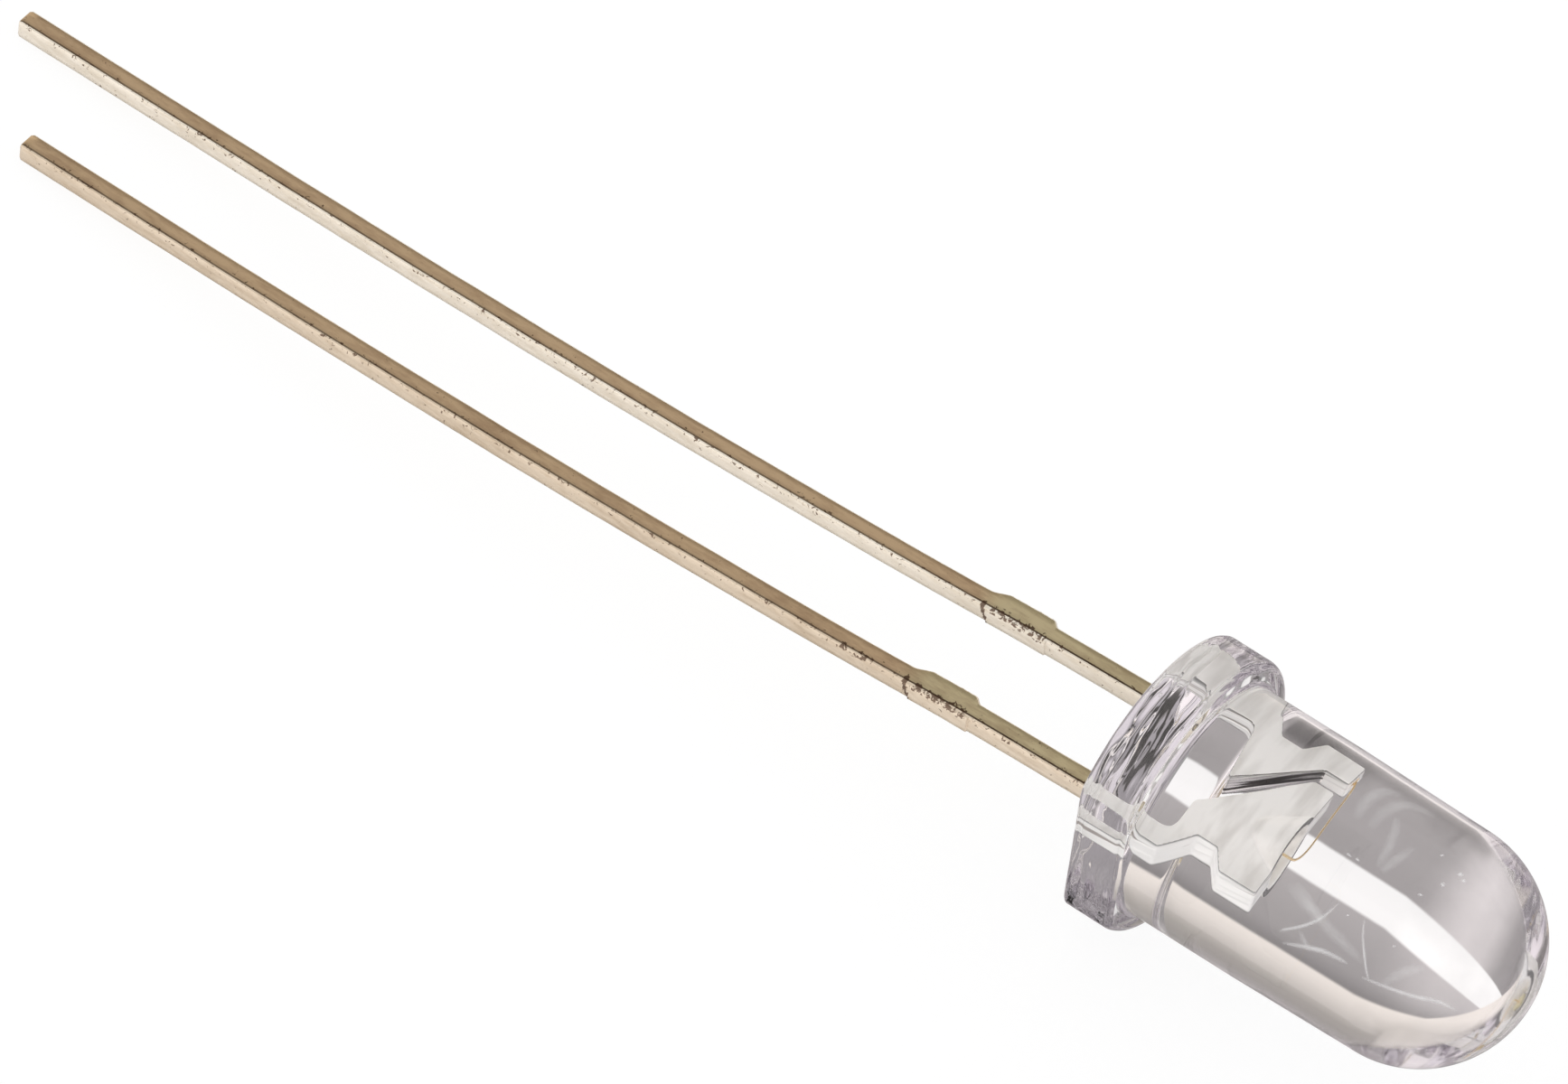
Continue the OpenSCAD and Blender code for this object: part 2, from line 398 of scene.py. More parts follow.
class Nodes:
    """A short way to write one material's node tree."""

    def __init__(self, name: str) -> None:
        """Makes the material with its surface shader.

        Args:
            name: The material's name.
        """
        self.material = bpy.data.materials.new(name)
        self.material.use_nodes = True
        self.tree = self.material.node_tree
        self.shader = self.tree.nodes["Principled BSDF"]

    @classmethod
    def of_world(cls, world: bpy.types.World) -> "Nodes":
        """Writes to a world's tree in the same way.

        Args:
            world: The world.

        Returns:
            The writer, whose shader is the world's background.
        """
        nodes = cls.__new__(cls)
        world.use_nodes = True
        nodes.tree = world.node_tree
        nodes.shader = world.node_tree.nodes["Background"]
        return nodes

    @property
    def place(self) -> Socket:
        """The place on the piece, in metres."""
        return self.add("TexCoord").outputs["Object"]

    def add(self, kind: str, inputs: dict | None = None, **settings: str) -> bpy.types.Node:
        """Adds a node, sets it up and wires it.

        Args:
            kind: The node's type, without its ShaderNode prefix.
            inputs: Socket name or number to a value or to another node's output.
            **settings: Attributes of the node.

        Returns:
            The node.
        """
        node = self.tree.nodes.new("ShaderNode" + kind)
        for key, value in settings.items():
            setattr(node, key, value)
        for key, value in (inputs or {}).items():
            self.wire(node, key, value)
        return node

    def wire(self, node: bpy.types.Node, key: str | int, value: Value) -> None:
        """Sets a socket to a value, or links an output to it.

        Args:
            node: The node that owns the socket.
            key: The socket's name or number.
            value: A plain value or another node's output.
        """
        if isinstance(value, Socket):
            self.tree.links.new(value, node.inputs[key])
        else:
            node.inputs[key].default_value = value

    def out(self, key: str, shader: bpy.types.Node) -> None:
        """Sends a shader to the material's Surface or Volume."""
        self.wire(self.tree.nodes["Material Output"], key, shader.outputs[0])

    def mark(self, name: str) -> Socket:
        """A number that the mesh carries."""
        return self.add("Attribute", attribute_name=name).outputs["Fac"]

    def noise(self, at: Socket, scale: float, detail: float = 2.0, **more: Value) -> Socket:
        """Cloudy noise from 0 to 1, with so many clouds in one unit of the place."""
        return self.add("TexNoise", {"Vector": at, "Scale": scale, "Detail": detail, **more}).outputs[0]

    def cells(self, at: Socket, scale: float) -> Socket:
        """Distance from the middles of scattered cells, so many in one unit of the place."""
        return self.add("TexVoronoi", {"Vector": at, "Scale": scale}).outputs[0]

    def bump(self, height: Socket, strength: float, depth: float, **more: Value) -> Socket:
        """The normal of a relief, by its height from 0 to 1 and its depth in metres."""
        inputs = {"Height": height, "Strength": strength, "Distance": depth, **more}
        return self.add("Bump", inputs).outputs[0]

    def math(self, operation: str, first: Value, second: Value = 0.0) -> Socket:
        """Works out one number from two."""
        return self.add("Math", {0: first, 1: second}, operation=operation).outputs[0]

    def times(self, first: Value, *others: Value) -> Socket:
        """Multiplies numbers.

        Args:
            first: A number or an output.
            *others: More of them.

        Returns:
            The product.
        """
        for other in others:
            first = self.math("MULTIPLY", first, other)
        return first

    def rest(self, share: Value) -> Socket:
        """What a share leaves of 1."""
        return self.math("SUBTRACT", 1.0, share)

    def product(self, first: Value, second: Value) -> Socket:
        """Multiplies two colours, or a colour and a number, channel by channel."""
        return self.add("VectorMath", {0: first, 1: second}, operation="MULTIPLY").outputs[0]

    def scaled(self, value: Socket, factor: float) -> Socket:
        """Multiplies a colour or a place by one number."""
        return self.add("VectorMath", {0: value, "Scale": factor}, operation="SCALE").outputs[0]

    def dot(self, way: Socket, axis: Vector) -> Socket:
        """How far a direction goes along a fixed unit vector."""
        node = self.add("VectorMath", {0: way, 1: tuple(axis)}, operation="DOT_PRODUCT")
        return node.outputs["Value"]

    def spread(self, value: Socket, low: float, high: float, first: float, last: float) -> Socket:
        """Moves a number from its range to another one and cuts it there."""
        return self.add("MapRange", {0: value, 1: low, 2: high, 3: first, 4: last}).outputs[0]

    def step(self, value: Socket, edge: float, soft: float) -> Socket:
        """Goes from 0 to 1 as a number passes an edge, in twice the soft width."""
        span = {0: value, 1: edge - soft, 2: edge + soft, 3: 0.0, 4: 1.0}
        return self.add("MapRange", span, interpolation_type="SMOOTHSTEP").outputs[0]

    def between(self, value: Socket, low: float, high: float, soft: float) -> Socket:
        """Share of 1 while a number lies between two soft edges."""
        return self.math("SUBTRACT", self.step(value, low, soft), self.step(value, high, soft))

    def blend(self, share: Value, first: Value, second: Value) -> Socket:
        """Mixes two colours by the second's share."""
        return self.add("Mix", {0: share, 6: first, 7: second}, data_type="RGBA").outputs[2]

    def ramp(self, source: Socket, stops: Sequence[tuple[float, Colour]]) -> Socket:
        """A colour ramp over a number.

        Args:
            source: The number.
            stops: Place and colour of each stop.

        Returns:
            The ramp's colour.
        """
        node = self.add("ValToRGB", {0: source})
        bar = node.color_ramp
        while len(bar.elements) < len(stops):
            bar.elements.new(0.5)
        for element, (at, colour) in zip(bar.elements, stops):
            element.position = at
            element.color = (*colour, 1.0)
        return node.outputs[0]

    def level(self, source: Socket, stops: Sequence[Point]) -> Socket:
        """A brightness ramp over a number, both from 0 to 1."""
        return self.ramp(source, [(place, (value,) * 3) for place, value in stops])

    def finish(self, **sockets: Value) -> Material:
        """Sets the surface shader's own sockets.

        Args:
            **sockets: Socket names with underscores for spaces.

        Returns:
            The material.
        """
        for key, value in sockets.items():
            self.wire(self.shader, key.replace("_", " "), value)
        return self.material


@dataclass(frozen=True)
class ClearEpoxy:
    """Water-clear cast epoxy with a faint mould texture and a breath of smoke.

    Attributes:
        ior: Refractive index.
        colour: Tint of the skin.
        gloss: Roughness of the moulded faces.
        dome_gloss: Roughness at the dome's top.
        smoke: Colour that the depth of the resin keeps.
        density: How fast the resin takes the rest, per metre.
        waves: Waves of the mould's texture in a metre.
        relief: Depth of those waves, in metres, and the share that shows.
    """

    ior: float = 1.53
    colour: Colour = (0.99, 0.99, 0.99)
    gloss: float = 0.015
    dome_gloss: float = 0.075
    smoke: Colour = (0.35, 0.25, 0.4)
    density: float = 15.0
    waves: float = 700.0
    relief: Point = (0.0002, 0.02)

    def build(self) -> Material:
        """Makes the material.

        Returns:
            The clear resin.
        """
        n = Nodes("clear_epoxy")
        depth, strength = self.relief
        bump = n.bump(n.noise(n.place, self.waves), strength, depth)
        rough = n.math("ADD", n.times(n.mark("dome"), self.dome_gloss - self.gloss), self.gloss)
        smoke = {"Color": (*self.smoke, 1.0), "Density": self.density}
        n.out("Volume", n.add("VolumeAbsorption", smoke))
        n.finish(Base_Color=(*self.colour, 1.0), Roughness=rough, Normal=bump)
        return n.finish(IOR=self.ior, Transmission_Weight=1.0)


@dataclass(frozen=True)
class Tin:
    """Dull solder tin over steel, flecked with tarnish, browner where it is worn, with painted shade at the
    burr's end.

    Attributes:
        name: The material's name.
        light: Colour of the cleaner tin.
        dark: Colour of the duller tin.
        near: Tint of the lead from the epoxy to the dam bar's stub.
        stain: Colour of tarnish in the worn places, and of the painted shade at the burr's end.
        gloss: Roughness.
        streak: How much longer than wide the flecks are.
        metal: Share that mirrors; the rest scatters like matt tin.
        fleck, patch, grain, speck: How many of each lie in a metre.
        spot_edge: Sum of speck, wear and painted shade at which a brown spot starts.
        relief: Depth of flecks and grain, in metres.
    """

    name: str
    light: Colour
    dark: Colour
    near: Colour
    stain: Colour = (0.13, 0.075, 0.045)
    gloss: float = 0.34
    streak: float = 4.0
    metal: float = 1.0
    fleck: float = 9000.0
    patch: float = 1500.0
    grain: float = 26000.0
    speck: float = 12000.0
    spot_edge: float = 0.84
    relief: float = 0.000008

    def build(self) -> Material:
        """Makes the material.

        Returns:
            The tinned steel.
        """
        n = Nodes(self.name)
        place = n.place
        long = n.add("Mapping", {"Vector": place, "Scale": (1 / self.streak, 1.0, 1.0)}).outputs[0]
        fleck = n.noise(long, self.fleck, 4.0, Roughness=0.65)
        both = n.math("ADD", n.times(fleck, 0.6), n.times(n.noise(long, self.patch), 0.4))
        clean = n.ramp(both, [(0.36, self.dark), (0.56, self.light)])
        clean = n.blend(n.mark("close"), clean, n.product(clean, self.near))
        speck = n.noise(place, self.speck, Distortion=0.6)
        # the spots also paint the shade line at the burr's end
        spots = n.step(n.math("ADD", speck, n.times(n.mark("wear_and_step_shade"), 0.4)), self.spot_edge, 0.05)
        colour = n.blend(n.times(spots, 0.9), clean, (*self.stain, 1.0))
        rough = n.spread(both, 0.3, 0.7, self.gloss + 0.08, self.gloss - 0.06)
        height = n.math("ADD", n.times(n.noise(place, self.grain), 0.35), fleck)
        bump = n.bump(height, 0.3, self.relief)
        return n.finish(Base_Color=colour, Metallic=self.metal, Roughness=rough, Normal=bump)


@dataclass(frozen=True)
class SilverPlate:
    """Soft silver plating on the leadframe's heads.

    Attributes:
        light: Colour of the bright silver.
        dark: Colour in its soft clouds.
        gloss: Roughness.
        metal: Share that mirrors; the rest scatters like sintered silver.
        wave: Depth of its slow waves, and of its grain, in metres.
        streak: How much longer than wide its clouds are.
        cloud, grain, slow: How many clouds, grains and slow waves lie in a metre.
    """

    light: Colour = (0.99, 0.97, 0.925)
    dark: Colour = (0.8, 0.775, 0.73)
    gloss: float = 0.34
    metal: float = 0.3
    wave: float = 0.000004
    streak: float = 3.0
    cloud: float = 2600.0
    grain: float = 22000.0
    slow: float = 5000.0

    def build(self) -> Material:
        """Makes the material.

        Returns:
            The silver.
        """
        n = Nodes("silver_plate")
        place = n.place
        drawn = n.add("Mapping", {"Vector": place, "Scale": (1.0, 1 / self.streak, 1.0)}).outputs[0]
        colour = n.ramp(n.noise(drawn, self.cloud, 3.0), [(0.36, self.dark), (0.56, self.light)])
        waves = n.bump(n.noise(place, self.slow, 1.0), 1.0, self.wave)
        bump = n.bump(n.noise(place, self.grain), 0.15, self.wave, Normal=waves)
        return n.finish(Base_Color=colour, Metallic=self.metal, Roughness=self.gloss, Normal=bump)


@dataclass(frozen=True)
class PunchedSilver:
    """Bright silver on the punched edges, streaked along the edge, with painted shade along its two corners.

    Attributes:
        name: The material's name.
        pale: Colour of the bright streaks.
        dark: Colour of the torn streaks between them.
        torn: How much of the edge is torn, from 0 to 1.
        corner: Share of the colour that the two corners keep, where shade is painted along them.
        gloss: Roughness.
        metal: Share that mirrors.
        tear: Depth of the streaks, in metres.
        along: Changes of the streaks in a metre along the edge.
        layers: Changes of the streaks through the sheet.
    """

    name: str
    pale: Colour = (1.0, 0.985, 0.955)
    dark: Colour = (0.4, 0.36, 0.33)
    torn: float = 0.37
    corner: float = 0.16
    gloss: float = 0.13
    metal: float = 0.15
    tear: float = 0.00002
    along: float = 1100.0
    layers: float = 5.0

    def build(self) -> Material:
        """Makes the material.

        Returns:
            The punched silver.
        """
        n = Nodes(self.name)
        through = n.mark("through")
        slow = n.scaled(n.place, self.along)
        fast = n.add("CombineXYZ", {"X": n.times(through, self.layers)}).outputs[0]
        spot = n.add("VectorMath", {0: slow, 1: fast}, operation="ADD").outputs[0]
        streak = n.noise(spot, 1.0)
        torn, corner_shade = self.torn, self.corner
        colour = n.ramp(streak, [(torn - 0.03, self.dark), (torn + 0.03, self.pale), (1.0, self.pale)])
        # painted shade: the colour darkens toward both corners of the punched edge
        edge = n.level(through, [(0.02, corner_shade), (0.12, 1.0), (0.88, 1.0), (0.98, corner_shade)])
        bump = n.bump(streak, 1.0, self.tear)
        return n.finish(
            Base_Color=n.product(colour, edge), Metallic=self.metal, Roughness=self.gloss, Normal=bump
        )


class Texture(Enum):
    """What breaks up the small pieces' colours."""

    CELLS = "cells"
    CLOUD = "cloud"


@dataclass(frozen=True)
class FineStuff:
    """The stuff of a tiny piece: two colours, broken up finely.

    Attributes:
        name: The material's name.
        texture: What breaks up its colours.
        fine: How many cells or clouds lie in a metre.
        stops: Places and colours along the texture.
        metal: Share that mirrors.
        gloss: Roughness.
        shine: Strength of its clear reflection.
        relief: Share that shows of a relief of five thousandths of a millimetre.
    """

    name: str
    texture: Texture
    fine: float
    stops: tuple[tuple[float, Colour], ...]
    metal: float
    gloss: float
    shine: float = 0.5
    relief: float = 0.0

    def build(self) -> Material:
        """Makes the material.

        Returns:
            The material.
        """
        n = Nodes(self.name)
        pattern = (n.cells if self.texture is Texture.CELLS else n.noise)(n.place, self.fine)
        if self.relief:
            n.finish(Normal=n.bump(pattern, self.relief, 0.000005))
        colour = n.ramp(pattern, self.stops)
        return n.finish(
            Base_Color=colour, Metallic=self.metal, Roughness=self.gloss, Specular_IOR_Level=self.shine
        )


STONE_COLOURS = ((0.1, (0.62, 0.55, 0.3)), (0.6, (0.8, 0.74, 0.48)))
PASTE_COLOURS = ((0.1, (0.5, 0.5, 0.5)), (0.7, (0.76, 0.76, 0.75)))
GOLD_COLOURS = ((0.35, (0.9, 0.68, 0.38)), (0.65, (0.98, 0.84, 0.58)))
CHIP_STONE = FineStuff("chip_stone", Texture.CELLS, 30000.0, STONE_COLOURS, 0.0, 0.25, shine=0.7)
SILVER_PASTE = FineStuff("silver_paste", Texture.CELLS, 60000.0, PASTE_COLOURS, 0.6, 0.55, relief=0.4)
GOLD = FineStuff("gold", Texture.CLOUD, 40000.0, GOLD_COLOURS, 1.0, 0.28)


# ---------------------------------------------------------------- the epoxy body


class Level(NamedTuple):
    """One level of the body's half section, in millimetres.

    Attributes:
        radius: Radius there.
        z: Height above the base plane.
        inset: How far it lies inside the flange's outline; less than 0 where the
            flat doesn't reach.
    """

    radius: float
    z: float
    inset: float = -1.0


@dataclass
class EpoxyBody:
    """The cast body: base with resin crept down the leads, flange, barrel, dome.

    Sizes are in millimetres.

    Attributes:
        axes: The lamp's frame.
        height: Base plane to dome top.
        flange: Radius of the flange.
        flat: Distance of the cathode flat from the axis.
        leads: Places of the two leads across the base.
        barrel: Radius of the barrel.
        taper: How much narrower the barrel's radius is at the dome.
        base: Height of the rim of the potted base.
        flange_height: Height of the flange's upper face.
        middle: A height half way up the flange.
        wall_inset: How near the flange's side a place counts as its wall.
        foot_round: Rounding of the flange's lower edge.
        rim_round: Rounding of its upper edge.
        seat_fillet: Fillet between flange and barrel.
        seat_top: Height at which the barrel starts to taper.
        corner: Rounding of the corners between the flat and the flange.
        flat_from: Radius from which the flat can cut.
        lead_half: Half the width of a lead.
        creep: How far the resin has crept down each lead.
        creep_reach: Distance from a lead in which that fades.
        sink: How far the potting has sunk between its rim and the leads.
        sink_reach: Distance in which it sinks.
        sink_wave: Waves of the sunk potting.
        ripple: Ripple of the flange's wall.
        turns: Points round the axis.
        base_rows: Rings on the base plane.
        dome_from: Height at which the dome's duller gloss starts.
        dome_over: Height over which it sets in.
    """

    axes: LampAxes
    height: float
    flange: float
    flat: float
    leads: Point
    barrel: float = 2.5
    taper: float = 0.05
    base: float = -0.06
    flange_height: float = 1.1
    middle: float = 0.5
    wall_inset: float = 0.5
    foot_round: float = 0.1
    rim_round: float = 0.2
    seat_fillet: float = 0.14
    seat_top: float = 3.4
    corner: float = 0.12
    flat_from: float = 2.2
    lead_half: float = 0.225
    creep: float = 0.2
    creep_reach: float = 0.11
    sink: float = 0.085
    sink_reach: float = 0.4
    sink_wave: float = 0.045
    ripple: float = 0.007
    turns: int = 320
    base_rows: int = 72
    dome_from: float = 6.3
    dome_over: float = 1.2

    def profile(self) -> list[Level]:
        """Half section from the base's centre to the dome's top.

        Returns:
            The levels.
        """
        low_r, r, f = self.foot_round, self.rim_round, self.seat_fillet
        seat_foot = self.flange_height + f
        low = arc((self.flange - low_r, self.base + low_r), low_r, -90, 0, 8)
        high = arc((self.flange - r, self.flange_height - r), r, 0, 90, 8)
        seat = arc((self.barrel + f, seat_foot), f, 270, 180, 6)
        dome_r = self.barrel - self.taper
        dome_z = self.height - dome_r
        plane = [self.flange * 0.995 * i / self.base_rows for i in range(1, self.base_rows - 2)]
        rows = [Level(x, self.base, low_r) for x in plane if x < self.flange - low_r - 0.02]
        rows += [Level(x, z, self.flange - x) for x, z in low + high]
        rows += [Level(x, z, r) for x, z in seat]
        rows += [Level(self.barrel, seat_foot + (self.seat_top - seat_foot) * i / 8) for i in range(1, 9)]
        rows += [
            Level(self.barrel - self.taper * i / 16, self.seat_top + (dome_z - self.seat_top) * i / 16)
            for i in range(1, 17)
        ]
        rows += [Level(x, z) for x, z in arc((0, dome_z), dome_r, 0, 90, 72)[1:-1]]
        return rows

    def crept(self, x: float, y: float) -> float:
        """How far the resin hangs below the base plane, or less than 0 where it has sunk.

        Args:
            x: Place across the base.
            y: Place through the sheet.

        Returns:
            The drop below the base plane.
        """
        inside = min(self.flange - math.hypot(x, y), self.flat - x) - self.foot_round
        drop, sink = 0.0, 1 - math.exp(-max(inside, 0.0) / self.sink_reach)
        for lead in self.leads:
            away = max(max(abs(x - lead), abs(y)) - self.lead_half, 0.0)
            drop = max(drop, self.creep * math.exp(-away / self.creep_reach))
            sink *= 1 - math.exp(-away / self.sink_reach)
        broad, fine = Vector((x * 1.7, y * 1.7, 5.0)), Vector((x * 5, y * 5, 2.0))
        wave = noise.noise(broad) + 0.05 * noise.noise(fine)
        return drop - sink * (self.sink + self.sink_wave * wave)

    def ring(self, level: Level) -> Ring:
        """One level of the body, flattened where the cathode flat cuts it.

        Args:
            level: The level.

        Returns:
            The ring of points.
        """
        radius, z, inset = level
        low = z < self.middle
        reach = self.flat - inset if low else max(self.flat - inset, self.barrel)
        corner = self.corner if low else self.corner / 2
        points = []
        for i in range(self.turns):
            a = TURN * i / self.turns
            c = math.cos(a)
            r = radius
            if inset >= 0 and c > 0.3 and radius > self.flat_from:
                r = soft_min(radius, reach / c, corner)
            if 0 <= inset < self.wall_inset and z < self.flange_height:
                r -= self.ripple * (1 + noise.noise(polar(r, a, z) * 3.2))
            at = polar(r, a, z)
            if z == self.base:
                at.z -= self.crept(at.x, at.y)
            points.append(at)
        return points

    def build(self) -> Piece:
        """Makes the body's outer surface.

        Returns:
            The body.
        """
        bm = bmesh.new()
        rows = skin([self.ring(level) for level in self.profile()], bm, caps=False)
        pole = bm.verts.new((0, 0, self.base))
        top = bm.verts.new((0, 0, self.height))
        for i in range(self.turns):
            k = (i + 1) % self.turns
            bm.faces.new((rows[0][k], rows[0][i], pole))
            bm.faces.new((rows[-1][i], rows[-1][k], top))
        marks = {"dome": lambda at: smooth_step((at.z - self.dome_from) / self.dome_over)}
        body = as_object(bm, "epoxy_body", self.axes.place, [ClearEpoxy().build()], 50.0, marks)
        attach(body, "root")
        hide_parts("lens_body")
        return body


# ---------------------------------------------------------------- the leads


class Surface(Enum):
    """Kinds of surface on a lead's run and on its head; the values number its materials."""

    ROLLED = 0
    SHEARED = 1
    # its finish paints a dark line of shade along the crease
    SHADED_CREASE = 2
    FACE = 3
    EDGE = 4
    # its finish is painted nearly black, as the shade in the gap between post and anvil
    SHADED_SLOT = 5


@dataclass(frozen=True)
class LeadStock:
    """Sizes that both leads share, in millimetres.

    Attributes:
        half: Half the width and half the thickness.
        edge: Broken edge along the lead.
        bow: Sideways set.
        bow_length: Distance from the base at which the set is complete.
        stub_from: Distance from the base to the dam bar's stub.
        stub_rise: Length of the stub's slope toward the base.
        stub_length: Length of the stub at its full height.
        stub_fall: Length of its slope toward the tip.
        stub_out: How far it stands out toward the anode side.
        burr: How far it stands out toward the cathode side.
        burr_past: How far the burr runs past the stub's full height.
        burr_slant: How much sooner it ends on the lower face than half way through.
        kink: How far the lead is pulled back at the stub.
        kink_at: Distance from the base at which it is pulled back most.
        kink_reach: Distance in which that fades.
        sag: How much further it has moved beyond the stub.
        sag_from: Distance from the base at which that starts.
        sag_over: Distance over which it grows.
    """

    half: float = 0.225
    edge: float = 0.06
    bow: float = 0.58
    bow_length: float = 22.5
    stub_from: float = 3.33
    stub_rise: float = 0.2
    stub_length: float = 0.92
    stub_fall: float = 0.44
    stub_out: float = 0.135
    burr: float = 0.04
    burr_past: float = 0.28
    burr_slant: float = 0.08
    kink: float = 0.055
    kink_at: float = 3.5
    kink_reach: float = 2.2
    sag: float = 0.045
    sag_from: float = 6.0
    sag_over: float = 8.0

    def set_off(self, down: float) -> float:
        """Sideways place of a lead below the base.

        Args:
            down: Distance below the base plane.

        Returns:
            How far it has moved toward the cathode side.
        """
        left = max(0.0, 1 - max(down, 0.0) / self.bow_length)
        kink = self.kink * math.exp(-(((down - self.kink_at) / self.kink_reach) ** 2))
        sag = self.sag * smooth_step((down - self.sag_from) / self.sag_over)
        return self.bow * (1 - left * left) - kink + sag

    def stub(self, down: float) -> float:
        """How far the dam bar's stub stands out toward the anode side at a place.

        Args:
            down: Distance below the base plane.

        Returns:
            The height of its ragged edge.
        """
        end = self.stub_from + self.stub_rise + self.stub_length
        rise = smooth_step((down - self.stub_from) / self.stub_rise)
        fall = smooth_step((end + self.stub_fall - down) / self.stub_fall)
        ragged = 0.012 * noise.noise(Vector((down * 9, 0.0, 3.0)))
        return (self.stub_out + ragged) * min(rise, fall)

    def burr_end(self, through: float) -> float:
        """Distance of the burr's end, which slants from -1 at the upper face to 1."""
        end = self.stub_from + self.stub_rise + self.stub_length + self.burr_past
        return end - self.burr_slant * through


@dataclass
class LeadWire:
    """A lead's square run from the epoxy to its sheared tip.

    Attributes:
        name: The piece's name.
        centre: Its place across the base, in millimetres.
        length: Its length below the base plane.
        worn: Stretches of the near edge that the shear has torn, from and to.
        seed: Makes each lead's ripples its own.
        stock: The sizes that both leads share.
        root: Distance below the base at which the run takes over from the head's stem.
        spacing: Distance of its stations.
    """

    name: str
    centre: float
    length: float
    worn: Table
    seed: float
    stock: LeadStock = field(default_factory=LeadStock)
    root: float = 0.2
    spacing: float = 0.2

    STRIPS: ClassVar[tuple[tuple[Surface, int], ...]] = (
        (Surface.ROLLED, 3),
        (Surface.SHADED_CREASE, 1),
        (Surface.SHEARED, 7),
        (Surface.ROLLED, 3),
        (Surface.SHEARED, 7),
    )

    def section(self, left: float, right: float, half: float, edge: float) -> list[Point]:
        """The lead's outline across and through the sheet.

        Args:
            left: Edge toward the anode side.
            right: Edge toward the cathode side.
            half: Half its thickness.
            edge: Broken edge.

        Returns:
            The outline, starting at the upper face's left end.
        """
        crease = min(0.028, edge / 2)
        bulge = edge * 0.42
        a, b = left + edge, right - edge
        third = (b - a) / 3
        upper = [(a, -half), (a + third, -half), (b - third, -half), (b - crease, -half)]
        near = [(b, -half + crease * 0.7), (right - bulge, -half + bulge), (right, -half + edge)]
        near += [(right, -half / 3), (right, half / 3), (right, half - edge), (right - bulge, half - bulge)]
        lower = [(b, half), (b - third, half), (a + third, half), (a, half)]
        far = [(left + bulge, half - bulge), (left, half - edge), (left, half / 3)]
        far += [(left, -half / 3), (left, -half + edge), (left + bulge, -half + bulge)]
        return upper + near + lower + far

    def stations(self) -> list[float]:
        """Distances below the base at which the lead is drawn, closer at the stub.

        Returns:
            The distances, from the root to the tip.
        """
        fine = [3.2 + 0.02 * i for i in range(115)]
        coarse = [self.spacing * i for i in range(1, int(self.length / self.spacing))]
        clear = self.spacing / 2
        spread = [d for d in coarse if not fine[0] - clear < d < fine[-1] + clear]
        end = self.length - self.stock.edge
        spread = [d for d in spread if self.root + clear < d < end - clear]
        return [self.root] + sorted(fine + spread) + [end]

    def ring(self, down: float, inset: float = 0.0) -> Ring:
        """The lead's outline at one place, rippled by rolling and shearing.

        Args:
            down: Distance below the base plane.
            inset: How far the outline shrinks, at the tip.

        Returns:
            The ring of points.
        """
        stock = self.stock
        middle = self.centre + stock.set_off(down)
        left = middle - stock.half - stock.stub(down) + inset
        right = middle + stock.half - inset
        edge = stock.edge * (1 - 0.6 * bool(inset))
        points = []
        for x, y in self.section(left, right, stock.half - inset, edge):
            if x > right - 0.03 and stock.stub_from < down < stock.burr_end(y / stock.half):
                x += stock.burr
            place = Vector((x * 1.3 + self.seed, y * 1.3, down * 0.8))
            ripple = 0.004 * noise.noise(place) + 0.002 * noise.noise(place * 5)
            points.append(Vector((x + ripple, y + ripple, -down)))
        return points

    def wear_and_step_shade(self, at: Vector) -> float:
        """How torn or tarnished the lead is at a place, with painted shade at the burr's end.

        Args:
            at: The place, in the lamp's millimetres.

        Returns:
            0 where it is clean, 1 where it is torn, more at the burr's end, where a dark line of painted
            shade marks the burr's step.
        """
        down = -at.z
        x = at.x - self.centre - self.stock.set_off(down)
        if x < 0.1:
            return 0.25
        # painted shade: a dark line where the burr ends, for the shade of its step
        if abs(down - self.stock.burr_end(at.y / self.stock.half)) < 0.045:
            return 1.5
        near_edge = -0.24 < at.y < -0.13
        if near_edge and any(start < down < end for start, end in self.worn):
            return 0.85
        return 0.5 if near_edge else 0.3

    def mesh(self) -> Mesh:
        """Builds the run.

        Returns:
            The closed mesh.
        """
        bm = bmesh.new()
        rings = [self.ring(d) for d in self.stations()]
        tip = self.ring(self.length, self.stock.edge * 0.7)
        kinds = [surface.value for surface, count in self.STRIPS for _ in range(count)]
        skin(rings + [tip], bm, kinds)
        return bm


@dataclass(frozen=True)
class Head:
    """What the two stamped heads share. Sizes are in millimetres.

    Attributes:
        stem: The stem's place across.
        corner: Height at which the slanting side ends.
        stem_end: Where the stem ends below the base plane, inside the lead's run.
    """

    stem: float
    corner: float = 3.02
    stem_end: float = -0.21

    HALF: ClassVar[float] = 0.225
    FLAT_LOOK: ClassVar[float] = 0.62

    def outline(self) -> list[Point]:
        """The head's outline across and along, with its stem."""
        raise NotImplementedError

    def pressed(self) -> tuple[list[Mesh], list[Mesh]]:
        """Solids pressed out of the sheet, and solids cut into it."""
        return [], []

    def mesh(self) -> Mesh:
        """Builds the head.

        Returns:
            The closed mesh.
        """
        added, cuts = self.pressed()
        sheet = plate(rounded(self.outline(), 0.05), self.HALF + 0.001)
        return forged([sheet, *added], cuts, 0.018, 5)


